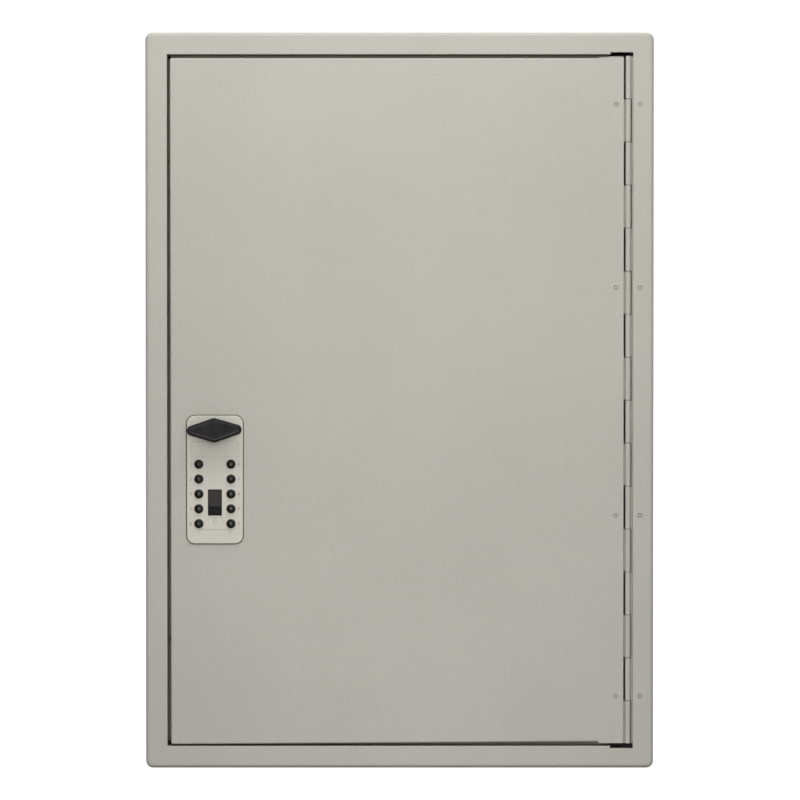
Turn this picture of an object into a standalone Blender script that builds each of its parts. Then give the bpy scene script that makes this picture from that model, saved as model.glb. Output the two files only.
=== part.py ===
"""Key cabinet with a push-button lock: a wall-hung steel case, a flush door on a continuous hinge,
ninety-degree hook rails inside and a mechanical lock that throws a bolt behind the case's left stile.

Units are metres and +Z is up. The origin is the middle of the back face, on the wall plane y = 0.
The door faces -Y, and +X is to the right of a person who looks at it.
"""

import math

import bmesh
import bpy
from mathutils import Matrix, Vector

MM = 0.001
GAP = 0.3 * MM                      # air between touching pieces

# Case
WIDTH, HEIGHT, DEPTH = 362 * MM, 524 * MM, 83 * MM
SHEET = 1.0 * MM
CORNER, ROLL = 5.0 * MM, 3.0 * MM   # outer corner radius, rolled front edge
OPENING_X, OPENING_Z = 166.3 * MM, 247.85 * MM   # the opening beside the hinge, where no lip is bent
LIP_X, LIP_Z = 165.2 * MM, 246.3 * MM            # planes of the left lip and of the top and bottom lips
LIP, HEM = 12.5 * MM, 1.9 * MM      # depth of a lip, and how far the hem at its rear edge turns in
LIP_RELIEF = 1.5 * MM               # corner relief between two bent lips
LIP_END_X = 150.0 * MM              # the lips stop here to clear the hinge
FRONT = -DEPTH                      # plane of the case's and the door's front faces
BEHIND_SHEET = FRONT + SHEET
STOP_Z = 170.0 * MM                 # height of the stop tabs above and below the middle
STOP_Y = -71.0 * MM                 # front face of a stop tab
STOP_HALF = 8.0 * MM
BUMPER_X = -160.2 * MM
PAN_FLANGE = 8.0 * MM               # turned edge of the back panel
WALL_SCREW_X, WALL_SCREW_Z, WALL_SCREW_R = 125 * MM, 200 * MM, 3.2 * MM

# Hinge
AXIS = Vector((162.7 * MM, FRONT - 0.1 * MM, 0))
KNUCKLES = 16
HINGE_LENGTH = 489.6 * MM
HINGE_TOP = 245.2 * MM
HINGE_BOTTOM = HINGE_TOP - HINGE_LENGTH
KNUCKLE = HINGE_LENGTH / KNUCKLES
BARREL_R, BORE_R, PIN_R = 1.9 * MM, 1.05 * MM, 0.9 * MM
LEAF = 0.8 * MM
LEAF_WIDTH = 14.4 * MM
NOTCH_REACH = 3.4 * MM              # how far a notch clears the other leaf's knuckle

# Door
DOOR_LEFT, DOOR_RIGHT = -163.5 * MM, 159.5 * MM
DOOR_TOP, DOOR_FOOT = 243.65 * MM, -243.2 * MM   # bent edges, where the bent part starts
PAN_DROP, PAN_DRAW = 1.9 * MM, 1.1 * MM          # how the pan's lower free corner is off square
DOOR_HALF_FLAT = 244.2 * MM         # half height along the hinge, where the edges are flat
DOOR_FLAT_X = 142.7 * MM
DOOR_FLANGE = 10.0 * MM
DOOR_FOLD = 1.2 * MM

# Lock, measured from the middle of its face plate
LOCK_X, LOCK_Z = -131.5 * MM, -56.2 * MM
PLATE_X, PLATE_Z, PLATE_CORNER = 20.0 * MM, 45.6 * MM, 5.7 * MM
PLATE_FRONT, PLATE_BACK = -84.2 * MM, -82.0 * MM
PLATE_MARGIN = 0.5 * MM
CHASSIS_FRONT, CHASSIS_REAR = -81.7 * MM, -64.9 * MM
CHASSIS_X, CHASSIS_Z = 21.0 * MM, 47.0 * MM
FLANGE_X, FLANGE_Z, FLANGE_T = 24.5 * MM, 57.0 * MM, 2.0 * MM
WALL_FRONT, WALL_REAR = -75.7 * MM, -74.2 * MM   # the chassis's inner wall
STUD_X, STUD_Z, STUD_R = 16.0 * MM, 52.5 * MM, 2.0 * MM
STUD_END = -74.5 * MM
BOSS_X, BOSS_Z = 16.2 * MM, 42.2 * MM
POST_X, POST_Z = 17.6 * MM, 42.9 * MM
COVER_FRONT, COVER_T = -64.6 * MM, 1.2 * MM
NUT_FRONT, NUT_T, NUT_R = -79.4 * MM, 3.2 * MM, 4.04 * MM

# Buttons
BUTTON_COLUMNS = (-11.45 * MM, 11.45 * MM)
BUTTON_PITCH = 10.6 * MM
BUTTON_TOP_Z = 11.0 * MM            # first row above the plate's middle
BUTTON_R, BUTTON_HOLE_R = 2.8 * MM, 3.1 * MM
BUTTON_RISE, BUTTON_DOME = 2.0 * MM, 1.0 * MM
BUTTON_FLANGE_R, BUTTON_FLANGE_T = 3.9 * MM, 1.0 * MM
STEM_R, STEM_END = 1.5 * MM, -72.0 * MM
SPRING_R, SPRING_WIRE_R = 2.25 * MM, 0.2 * MM

# Clear slide, heights measured from the plate's middle
WINDOW_X, WINDOW_TOP, WINDOW_BOTTOM = 5.0 * MM, -6.95 * MM, -25.75 * MM
SLIDE_X, SLIDE_TOP, SLIDE_LEDGE = 4.65 * MM, -7.3 * MM, -19.25 * MM
SLIDE_FRONT, SLIDE_BACK = -83.6 * MM, -80.9 * MM
SLIDE_PLATE_X, SLIDE_PLATE_TOP, SLIDE_PLATE_BOTTOM = 7.0 * MM, -1.0 * MM, -27.4 * MM
LUG_X, LUG_REAR, LUG_T = 2.2 * MM, -76.4 * MM, 1.6 * MM
POCKET_X, POCKET_Z = 17.5 * MM, 41.5 * MM
CLEAR_SPRING_Y = -78.6 * MM

# Knob, spindle and bolt
KNOB_Z = -20.8 * MM
KNOB_LENGTH, KNOB_WIDTH = 39.0 * MM, 17.2 * MM
KNOB_END_R, KNOB_APEX_R = 3.6 * MM, 5.0 * MM
KNOB_FRONT, KNOB_T = -97.0 * MM, 6.5 * MM
KNOB_TILT = math.radians(1.4)
HUB_R, HUB_BACK = 7.0 * MM, -84.6 * MM
SPINDLE_R, SPINDLE_HOLE_R, SQUARE = 3.0 * MM, 3.4 * MM, 2.0 * MM
SPINDLE_TIP = -93.0 * MM
GROOVE_R, GROOVE_FRONT, GROOVE_REAR = 2.4 * MM, -77.1 * MM, -75.9 * MM
CLIP_T, CLIP_IN, CLIP_OUT = 0.6 * MM, 2.7 * MM, 4.8 * MM
CAM_FRONT, CAM_REAR, CAM_R = -71.0 * MM, -69.0 * MM, 9.5 * MM
CRANK_R, CRANK_PIN_R, CRANK_PIN_END = 7.0 * MM, 1.5 * MM, -65.6 * MM
CRANK_START = math.radians(40)      # the crank pin starts this far to the right of straight down
BOLT_FRONT, BOLT_REAR = -68.2 * MM, -65.2 * MM
BOLT_TIP, BOLT_TAIL = -162.2 * MM, -118.0 * MM
BOLT_TOP, BOLT_BOTTOM = -18.1 * MM, -33.1 * MM
STRIKE_X = -167.9 * MM

# Hook rails
RAILS, HOOKS = 12, 10
RAIL_PITCH, HOOK_PITCH = 38.0 * MM, 30.0 * MM
RAIL_HALF, HOOK_WIDTH = 150.0 * MM, 4.0 * MM
RAIL_BACK = SHEET + GAP


# ---------------------------------------------------------------- helpers

def clear_scene():
    for old in list(bpy.data.objects):
        bpy.data.objects.remove(old, do_unlink=True)


def make_collection(name):
    collection = bpy.data.collections.new(name)
    bpy.context.scene.collection.children.link(collection)
    return collection


def make_material(name, colour, roughness, metallic=0.0):
    material = bpy.data.materials.new(name)
    material.use_nodes = True
    shader = material.node_tree.nodes["Principled BSDF"]
    shader.inputs["Base Color"].default_value = (*colour, 1.0)
    shader.inputs["Roughness"].default_value = roughness
    shader.inputs["Metallic"].default_value = metallic
    material.diffuse_color = (*colour, 1.0)
    return material


def object_from(bm, name, collection):
    mesh = bpy.data.meshes.new(name)
    bm.to_mesh(mesh)
    bm.free()
    obj = bpy.data.objects.new(name, mesh)
    collection.objects.link(obj)
    return obj


def round_edges(bm, chosen, radius, segments):
    edges = [edge for edge in bm.edges if chosen(*(vert.co for vert in edge.verts))]
    bmesh.ops.bevel(bm, geom=edges, offset=radius, segments=segments, profile=0.5, affect="EDGES")


def box_bmesh(low, high, corner=0.0, front=0.0):
    """A box whose four edges along Y are rounded by corner, and its front face's edges by front."""
    bm = bmesh.new()
    bmesh.ops.create_cube(bm, size=1.0)
    low, high = Vector(low), Vector(high)
    bmesh.ops.scale(bm, vec=high - low, verts=bm.verts)
    bmesh.ops.translate(bm, vec=(high + low) / 2, verts=bm.verts)
    if corner:
        round_edges(bm, lambda a, b: abs(a.y - b.y) > 1e-6, corner, 4)
    if front:
        round_edges(bm, lambda a, b: max(a.y, b.y) < low.y + 1e-6, front, 3)
    return bm


def rod_bmesh(radius, start, end, sides=16):
    """A cylinder between two points."""
    start, end = Vector(start), Vector(end)
    bm = bmesh.new()
    bmesh.ops.create_cone(bm, cap_ends=True, segments=sides, radius1=radius, radius2=radius,
                          depth=(end - start).length)
    turn = (end - start).to_track_quat("Z", "Y").to_matrix().to_4x4()
    bmesh.ops.transform(bm, matrix=Matrix.Translation((start + end) / 2) @ turn, verts=bm.verts)
    return bm


def merged(bmeshes):
    """Several separate solids in one bmesh."""
    result = bmesh.new()
    for bm in bmeshes:
        mesh = bpy.data.meshes.new("part_of_group")
        bm.to_mesh(mesh)
        bm.free()
        result.from_mesh(mesh)
        bpy.data.meshes.remove(mesh)
    return result


def operand(name, *bmeshes):
    """A hidden object for a Boolean modifier."""
    obj = object_from(merged(bmeshes), name, CUTTERS)
    obj.hide_render = True
    obj.display_type = "WIRE"
    return obj


def boolean(obj, operation, name, *bmeshes):
    modifier = obj.modifiers.new(name, "BOOLEAN")
    modifier.operation = operation
    modifier.solver = "EXACT"
    modifier.object = operand(f"{obj.name}_{name}", *bmeshes)


def cut(obj, name, *bmeshes):
    boolean(obj, "DIFFERENCE", name, *bmeshes)


def join(obj, name, *bmeshes):
    boolean(obj, "UNION", name, *bmeshes)


def evaluated_mesh(obj):
    """The object's mesh with its modifiers applied, and with a curve's caps welded on."""
    depsgraph = bpy.context.evaluated_depsgraph_get()
    mesh = bpy.data.meshes.new_from_object(obj.evaluated_get(depsgraph))
    bm = bmesh.new()
    bm.from_mesh(mesh)
    bmesh.ops.remove_doubles(bm, verts=bm.verts, dist=1e-6)
    bm.to_mesh(mesh)
    bm.free()
    return mesh


def baked(obj):
    """Removes the object and returns its finished mesh, in world space."""
    mesh = evaluated_mesh(obj)
    mesh.transform(obj.matrix_world)
    bpy.data.objects.remove(obj, do_unlink=True)
    return mesh


def extruded(name, outline, depth):
    """A flat outline in local XY, as thick as depth, made with a filled 2D curve."""
    curve = bpy.data.curves.new(name, "CURVE")
    curve.dimensions = "2D"
    curve.fill_mode = "BOTH"
    curve.extrude = depth / 2
    spline = curve.splines.new("POLY")
    spline.points.add(len(outline) - 1)
    for point, (u, v) in zip(spline.points, outline):
        point.co = (u, v, 0, 1)
    spline.use_cyclic_u = True
    obj = bpy.data.objects.new(name, curve)
    PARTS.objects.link(obj)
    return obj


def turned(name, profile, sides=16):
    """A profile of (radius, height) points, listed down its outer side, turned round local Z."""
    bm = bmesh.new()
    verts = [bm.verts.new((radius, 0, height)) for radius, height in profile]
    for first, second in zip(verts, verts[1:]):
        bm.edges.new((first, second))
    if profile[0][0] > 0:
        bm.edges.new((verts[-1], verts[0]))
    obj = object_from(bm, name, PARTS)
    screw = obj.modifiers.new("turn", "SCREW")
    screw.axis = "Z"
    screw.steps = screw.render_steps = sides
    screw.use_merge_vertices = True
    screw.merge_threshold = 1e-6
    bpy.context.view_layer.update()
    return baked(obj)


def coil(name, radius, wire_radius, length, turns):
    """A wire wound round local Z from height 0 down to -length."""
    per_turn = 8
    count = round(turns * per_turn) + 1
    curve = bpy.data.curves.new(name, "CURVE")
    curve.dimensions = "3D"
    curve.bevel_depth = wire_radius
    curve.bevel_resolution = 2
    curve.use_fill_caps = True
    spline = curve.splines.new("POLY")
    spline.points.add(count - 1)
    for index, point in enumerate(spline.points):
        angle = math.tau * index / per_turn
        fall = wire_radius + (length - 2 * wire_radius) * index / (count - 1)
        point.co = (radius * math.cos(angle), radius * math.sin(angle), -fall, 1)
    obj = bpy.data.objects.new(name, curve)
    PARTS.objects.link(obj)
    bpy.context.view_layer.update()
    return baked(obj)


# local Z of turned and extruded pieces points out of the door
TO_FRONT = Matrix.Rotation(math.pi / 2, 4, "X")


def facing_front(mesh):
    mesh.transform(TO_FRONT)
    return mesh


def smooth(mesh):
    mesh.shade_smooth()
    mesh.set_sharp_from_angle(angle=math.radians(35))


def axis_empty(name, place, parent=None):
    empty = bpy.data.objects.new(name, None)
    empty.empty_display_size = 0.01
    PARTS.objects.link(empty)
    empty.parent = parent
    base = BASES.get(parent.name, Vector()) if parent else Vector()
    empty.location = Vector(place) - base
    BASES[name] = Vector(place)
    return empty


def settle(obj, material, parent=None, origin=None):
    """Gives a piece its material, its origin and its parent, and leaves it where it is."""
    origin = Vector(origin) if origin else Vector()
    obj.data.materials.clear()
    obj.data.materials.append(MATERIALS[material])
    obj.data.transform(Matrix.Translation(-origin))
    smooth(obj.data)
    base = BASES[parent.name] if parent else Vector()
    obj.parent = parent
    obj.location = origin - base
    return obj


def copies(mesh, material, names_and_places, parents):
    """Separate objects that share one mesh, each at its own place."""
    mesh.materials.clear()
    mesh.materials.append(MATERIALS[material])
    smooth(mesh)
    made = []
    for (name, place), parent in zip(names_and_places, parents):
        obj = bpy.data.objects.new(name, mesh)
        PARTS.objects.link(obj)
        obj.parent = parent
        base = BASES[parent.name] if parent else Vector()
        obj.location = Vector(place) - base
        made.append(obj)
    return made


def lock_point(x, y, z):
    """A place given from the middle of the lock's face plate."""
    return Vector((LOCK_X + x, y, LOCK_Z + z))


def lock_box(x, y, z, corner=0.0, front=0.0):
    """A box from (low, high) pairs, with x and z from the middle of the lock's face plate."""
    return box_bmesh(lock_point(x[0], y[0], z[0]), lock_point(x[1], y[1], z[1]), corner, front)


def lock_rod(radius, x, z, front, rear, sides=16):
    return rod_bmesh(radius, lock_point(x, rear, z), lock_point(x, front, z), sides)


def corners(x, z):
    return [(side_x * x, side_z * z) for side_z in (1, -1) for side_x in (-1, 1)]


# ---------------------------------------------------------------- case

def build_case_shell():
    shell = object_from(box_bmesh((-WIDTH / 2, FRONT, -HEIGHT / 2), (WIDTH / 2, -GAP, HEIGHT / 2),
                                  CORNER, ROLL), "case_shell", PARTS)
    inner_x, inner_z = WIDTH / 2 - SHEET, HEIGHT / 2 - SHEET
    cut(shell, "cavity", box_bmesh((-inner_x, BEHIND_SHEET, -inner_z), (inner_x, DEPTH, inner_z),
                                   CORNER - SHEET, ROLL - SHEET))
    cut(shell, "opening", box_bmesh((-LIP_X, FRONT - SHEET, -LIP_Z),
                                    (LIP_END_X + SHEET, BEHIND_SHEET + SHEET, LIP_Z)))
    cut(shell, "hinge_side", box_bmesh((LIP_END_X, FRONT - SHEET, -OPENING_Z),
                                       (OPENING_X, BEHIND_SHEET + SHEET, OPENING_Z)))
    lip_y = (BEHIND_SHEET - SHEET / 2, FRONT + LIP)
    lip_z = LIP_Z - LIP_RELIEF
    lip_x = LIP_X - LIP_RELIEF
    join(shell, "lips",
         box_bmesh((-LIP_X - SHEET, lip_y[0], -lip_z), (-LIP_X, lip_y[1], lip_z)),
         box_bmesh((-lip_x, lip_y[0], LIP_Z), (LIP_END_X, lip_y[1], LIP_Z + SHEET)),
         box_bmesh((-lip_x, lip_y[0], -LIP_Z - SHEET), (LIP_END_X, lip_y[1], -LIP_Z)))
    # the hems close the view through the gap; the left one ends short of the door's withdrawn bolt
    hem_y = (STOP_Y + 0.1 * MM, STOP_Y + SHEET - 0.1 * MM)
    hem_z, hem_end = LIP_Z - HEM - LIP_RELIEF / 2, LIP_END_X - LIP_RELIEF
    join(shell, "hems",
         box_bmesh((-LIP_X - SHEET / 2, hem_y[0], -hem_z), (-LIP_X + HEM, hem_y[1], hem_z)),
         box_bmesh((-lip_x, hem_y[0], LIP_Z - HEM), (hem_end, hem_y[1], LIP_Z + SHEET / 2)),
         box_bmesh((-lip_x, hem_y[0], -LIP_Z - SHEET / 2), (hem_end, hem_y[1], -LIP_Z + HEM)))
    heights = (STOP_Z, -STOP_Z)
    join(shell, "stop_tabs", *[
        box_bmesh((-LIP_X - SHEET, STOP_Y, z - STOP_HALF),
                  (BUMPER_X + 5.2 * MM, STOP_Y + SHEET, z + STOP_HALF)) for z in heights])
    cut(shell, "bumper_holes", *[
        rod_bmesh(1.8 * MM, (BUMPER_X, STOP_Y - SHEET, z), (BUMPER_X, STOP_Y + 2 * SHEET, z))
        for z in heights])
    settle(shell, "paint")


def build_back_panel():
    half_x, half_z = WIDTH / 2 - SHEET - GAP, HEIGHT / 2 - SHEET - GAP
    corner = CORNER - SHEET - GAP
    panel = object_from(box_bmesh((-half_x, -SHEET - PAN_FLANGE, -half_z), (half_x, 0, half_z),
                                  corner), "back_panel", PARTS)
    cut(panel, "tray", box_bmesh((-half_x + SHEET, -DEPTH, -half_z + SHEET),
                                 (half_x - SHEET, -SHEET, half_z - SHEET), corner - SHEET))
    cut(panel, "wall_screw_holes", *[
        rod_bmesh(WALL_SCREW_R, (x, -2 * SHEET, z), (x, SHEET, z))
        for x, z in corners(WALL_SCREW_X, WALL_SCREW_Z)])
    settle(panel, "paint")


def build_bumpers():
    """Rubber bumpers: a head that meets the door, a neck in the tab's hole and a barb behind it."""
    head, neck, barb = 4.0 * MM, 1.5 * MM, 2.5 * MM
    profile = [(0, 1.7 * MM), (head - 0.5 * MM, 1.7 * MM), (head, 1.2 * MM), (head, GAP), (neck, GAP),
               (neck, -SHEET - GAP), (barb, -SHEET - GAP), (neck, -2.8 * MM), (0, -2.8 * MM)]
    mesh = facing_front(turned("bumper", profile, 14))
    copies(mesh, "rubber", [("door_bumper_top", (BUMPER_X, STOP_Y, STOP_Z)),
                            ("door_bumper_bottom", (BUMPER_X, STOP_Y, -STOP_Z))], [None, None])


def build_strike_bracket():
    """An L of sheet behind the left stile, with the slot that the bolt enters."""
    rear = -58.0 * MM
    low_z, high_z = BOLT_BOTTOM - 14 * MM, BOLT_TOP + 11 * MM
    stile_leg_x = -WIDTH / 2 + SHEET + 1.0 * MM
    front = BEHIND_SHEET + GAP
    bracket = object_from(box_bmesh((STRIKE_X - SHEET, front, low_z), (STRIKE_X, rear, high_z)),
                          "strike_bracket", PARTS)
    join(bracket, "stile_leg", box_bmesh((stile_leg_x, front, low_z),
                                         (STRIKE_X - SHEET / 2, front + SHEET, high_z)))
    cut(bracket, "bolt_slot", box_bmesh(
        (STRIKE_X - 2 * SHEET, BOLT_FRONT - 1.0 * MM, BOLT_BOTTOM - 1.0 * MM),
        (STRIKE_X + SHEET, BOLT_REAR + 1.0 * MM, BOLT_TOP + 1.0 * MM)))
    settle(bracket, "zinc")


# ---------------------------------------------------------------- hinge

def knuckle_span(index):
    top = HINGE_TOP - index * KNUCKLE
    return top - KNUCKLE, top


def build_hinge_leaf(name, side, own, parent):
    """A leaf to the left (side -1) or right (+1) of the pin, with every second knuckle."""
    leaf_y = (BEHIND_SHEET + GAP, BEHIND_SHEET + GAP + LEAF)
    xs = sorted((AXIS.x, AXIS.x + side * LEAF_WIDTH))
    leaf = object_from(box_bmesh((xs[0], leaf_y[0], HINGE_BOTTOM + GAP),
                                 (xs[1], leaf_y[1], HINGE_TOP - GAP)), name, PARTS)
    others = [index for index in range(KNUCKLES) if index not in own]
    notch_xs = sorted((AXIS.x - side * 2 * BARREL_R, AXIS.x + side * NOTCH_REACH))
    cut(leaf, "notches", *[
        box_bmesh((notch_xs[0], leaf_y[0] - SHEET, knuckle_span(index)[0] - GAP),
                  (notch_xs[1], leaf_y[1] + SHEET, knuckle_span(index)[1] + GAP))
        for index in others])
    join(leaf, "knuckles", *[
        rod_bmesh(BARREL_R, (AXIS.x, AXIS.y, knuckle_span(index)[0] + 0.2 * MM),
                  (AXIS.x, AXIS.y, knuckle_span(index)[1] - 0.2 * MM)) for index in own])
    cut(leaf, "bore", rod_bmesh(BORE_R, (AXIS.x, AXIS.y, HINGE_BOTTOM - KNUCKLE),
                                (AXIS.x, AXIS.y, HINGE_TOP + KNUCKLE), 12))
    settle(leaf, "paint", parent, AXIS)


def build_hinge(door_axis):
    build_hinge_leaf("hinge_leaf_frame", 1, range(0, KNUCKLES, 2), None)
    build_hinge_leaf("hinge_leaf_door", -1, range(1, KNUCKLES, 2), door_axis)
    pin = object_from(rod_bmesh(PIN_R, (AXIS.x, AXIS.y, HINGE_BOTTOM), (AXIS.x, AXIS.y, HINGE_TOP), 12),
                      "hinge_pin", PARTS)
    settle(pin, "steel", None, AXIS)


# ---------------------------------------------------------------- hook rails

def build_hook_rails():
    """Each rail is one stamping: a flat strip with ten shanks bent forward and turned up at the tip."""
    thick = 1.0 * MM
    face = RAIL_BACK + thick
    # u runs forward from the wall and v up
    hook = [(face - thick / 2, -1.6 * MM), (face - thick / 2, -0.6 * MM), (12.4 * MM, 1.3 * MM),
            (13.0 * MM, 5.2 * MM), (14.0 * MM, 5.2 * MM), (13.3 * MM, 0.35 * MM)]
    blank = extruded("hook_blank", hook, HOOK_WIDTH)
    blank.matrix_world = Matrix(((0, 0, 1, 0), (-1, 0, 0, 0), (0, 1, 0, 0), (0, 0, 0, 1)))
    bpy.context.view_layer.update()
    hook_mesh = baked(blank)
    hooks = []
    for index in range(HOOKS):
        bm = bmesh.new()
        bm.from_mesh(hook_mesh)
        offset = ((index - (HOOKS - 1) / 2) * HOOK_PITCH, 0, 0)
        bmesh.ops.translate(bm, vec=offset, verts=bm.verts)
        hooks.append(bm)
    rail = object_from(box_bmesh((-RAIL_HALF, -face, -2 * MM), (RAIL_HALF, -RAIL_BACK, 10 * MM)),
                       "hook_rail", PARTS)
    join(rail, "hooks", *hooks)
    bpy.context.view_layer.update()
    mesh = baked(rail)
    top = (RAILS - 1) / 2 * RAIL_PITCH
    places = [(f"hook_rail_{index + 1:02d}", (0, 0, top - index * RAIL_PITCH)) for index in range(RAILS)]
    copies(mesh, "zinc", places, [None] * RAILS)


# ---------------------------------------------------------------- door

def bend_off_square(door):
    """Slopes the pan's foot down, and leans its left side in, towards the lower free corner."""
    band = DOOR_FLANGE / 2
    door.data = evaluated_mesh(door)
    door.modifiers.clear()
    for vert in door.data.vertices:
        x, _, z = vert.co
        if z < DOOR_FOOT + band and x < DOOR_FLAT_X:
            vert.co.z -= PAN_DROP * (DOOR_FLAT_X - x) / (DOOR_FLAT_X - DOOR_LEFT)
        if x < DOOR_LEFT + band:
            vert.co.x += PAN_DRAW * (DOOR_TOP - z) / (DOOR_TOP - DOOR_FOOT)


def build_door_panel(door_axis):
    def bent_edge(a, b):
        on_front = max(a.y, b.y) < FRONT + 1e-6
        return on_front and min(a.x, b.x) < DOOR_FLAT_X - 1e-6

    def left_corner(a, b):
        return abs(a.y - b.y) > 1e-6 and max(a.x, b.x) < 0

    pan = box_bmesh((DOOR_LEFT, FRONT, DOOR_FOOT), (DOOR_FLAT_X, FRONT + DOOR_FLANGE, DOOR_TOP))
    round_edges(pan, left_corner, 2 * DOOR_FOLD, 3)
    round_edges(pan, bent_edge, DOOR_FOLD, 3)
    door = object_from(pan, "door_panel", PARTS)
    cut(door, "tray", box_bmesh((DOOR_LEFT + SHEET, BEHIND_SHEET, DOOR_FOOT + SHEET),
                                (DOOR_RIGHT, -DOOR_FLANGE, DOOR_TOP - SHEET)))
    join(door, "hinge_side", box_bmesh((DOOR_FLAT_X - SHEET, FRONT, -DOOR_HALF_FLAT),
                                       (DOOR_RIGHT, BEHIND_SHEET, DOOR_HALF_FLAT)))
    out_x, out_z = PLATE_X + PLATE_MARGIN, PLATE_Z + PLATE_MARGIN
    cut(door, "lock_cutout", lock_box((-out_x, out_x), (FRONT - SHEET, BEHIND_SHEET + SHEET),
                                      (-out_z, out_z), PLATE_CORNER + PLATE_MARGIN))
    join(door, "weld_studs", *[lock_rod(STUD_R, x, z, BEHIND_SHEET - SHEET / 2, STUD_END, 12)
                               for x, z in corners(STUD_X, STUD_Z)])
    bend_off_square(door)
    settle(door, "paint", door_axis, AXIS)


# ---------------------------------------------------------------- lock

def button_places():
    """Names and places, 1 to 5 down the left column and 6 to 0 down the right one."""
    places = []
    for index in range(10):
        x = BUTTON_COLUMNS[index // 5]
        z = BUTTON_TOP_Z - BUTTON_PITCH * (index % 5)
        places.append((str((index + 1) % 10), x, z))
    return places


def build_faceplate(door_axis):
    plate = object_from(lock_box((-PLATE_X, PLATE_X), (PLATE_FRONT, PLATE_BACK), (-PLATE_Z, PLATE_Z),
                                 PLATE_CORNER, 0.5 * MM), "lock_faceplate", PARTS)
    join(plate, "posts", *[lock_rod(1.0 * MM, x, z, PLATE_BACK - MM, PLATE_BACK + 5 * MM, 10)
                           for x, z in corners(POST_X, POST_Z)])
    cut(plate, "button_holes", *[lock_rod(BUTTON_HOLE_R, x, z, PLATE_FRONT - MM, PLATE_BACK + MM)
                                 for _, x, z in button_places()])
    cut(plate, "window", lock_box((-WINDOW_X, WINDOW_X), (PLATE_FRONT - MM, PLATE_BACK + MM),
                                  (WINDOW_BOTTOM, WINDOW_TOP)))
    cut(plate, "spindle_hole", lock_rod(SPINDLE_HOLE_R, 0, KNOB_Z - LOCK_Z, PLATE_FRONT - MM,
                                        PLATE_BACK + MM))
    settle(plate, "plate", door_axis, lock_point(0, PLATE_BACK, 0))


def build_housing(door_axis):
    housing = object_from(lock_box((-FLANGE_X, FLANGE_X), (CHASSIS_FRONT, CHASSIS_FRONT + FLANGE_T),
                                   (-FLANGE_Z, FLANGE_Z), 4 * MM), "lock_housing", PARTS)
    join(housing, "body", lock_box((-CHASSIS_X, CHASSIS_X), (CHASSIS_FRONT + MM, CHASSIS_REAR),
                                   (-CHASSIS_Z, CHASSIS_Z), 2 * MM))
    cut(housing, "front_pocket", lock_box((-POCKET_X, POCKET_X), (CHASSIS_FRONT - MM, WALL_FRONT),
                                          (-POCKET_Z, POCKET_Z)))
    wall = 1.8 * MM
    cut(housing, "rear_pocket", lock_box((-CHASSIS_X + wall, CHASSIS_X - wall), (WALL_REAR, 0),
                                         (-CHASSIS_Z + wall, CHASSIS_Z - wall)))
    rib_x = (5.0 * MM, 6.6 * MM)
    rib_y = (SLIDE_BACK + GAP, WALL_FRONT + 0.5 * MM)
    rib_z = (-36 * MM, -1.5 * MM)
    join(housing, "slide_ribs", lock_box(rib_x, rib_y, rib_z),
         lock_box((-rib_x[1], -rib_x[0]), rib_y, rib_z))
    bar_y = (BOLT_FRONT - GAP, CHASSIS_REAR - GAP)
    bar_x = (-CHASSIS_X + 1.0 * MM, CHASSIS_X - 1.0 * MM)
    bolt_top, bolt_bottom = BOLT_TOP - LOCK_Z + GAP, BOLT_BOTTOM - LOCK_Z - GAP
    join(housing, "bolt_guides", lock_box(bar_x, bar_y, (bolt_top, bolt_top + 1.5 * MM)),
         lock_box(bar_x, bar_y, (bolt_bottom - 1.5 * MM, bolt_bottom)))
    join(housing, "screw_bosses", *[
        lock_rod(2.8 * MM, x, z, WALL_REAR - 0.8 * MM, CHASSIS_REAR - 2 * GAP, 14)
        for x, z in corners(BOSS_X, BOSS_Z)])
    cut(housing, "bolt_exit", lock_box((-CHASSIS_X - MM, -CHASSIS_X + 3 * MM),
                                       (BOLT_FRONT - 2 * GAP, -60 * MM),
                                       (bolt_bottom - GAP, bolt_top + GAP)))
    cut(housing, "screw_holes", *[lock_rod(1.5 * MM, x, z, -72.5 * MM, -60 * MM, 12)
                                  for x, z in corners(BOSS_X, BOSS_Z)])
    cut(housing, "post_holes", *[lock_rod(1.3 * MM, x, z, CHASSIS_FRONT - MM, -76.5 * MM, 12)
                                 for x, z in corners(POST_X, POST_Z)])
    cut(housing, "stud_holes", *[lock_rod(STUD_R + GAP, x, z, CHASSIS_FRONT - MM, NUT_FRONT + MM, 12)
                                 for x, z in corners(STUD_X, STUD_Z)])
    cut(housing, "stem_holes", *[lock_rod(1.9 * MM, x, z, WALL_FRONT - MM, WALL_REAR + MM, 12)
                                 for _, x, z in button_places()])
    cut(housing, "spindle_bore", lock_rod(SPINDLE_HOLE_R, 0, KNOB_Z - LOCK_Z, WALL_FRONT - MM,
                                          WALL_REAR + MM))
    settle(housing, "zinc", door_axis, lock_point(0, CHASSIS_FRONT, 0))


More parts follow.
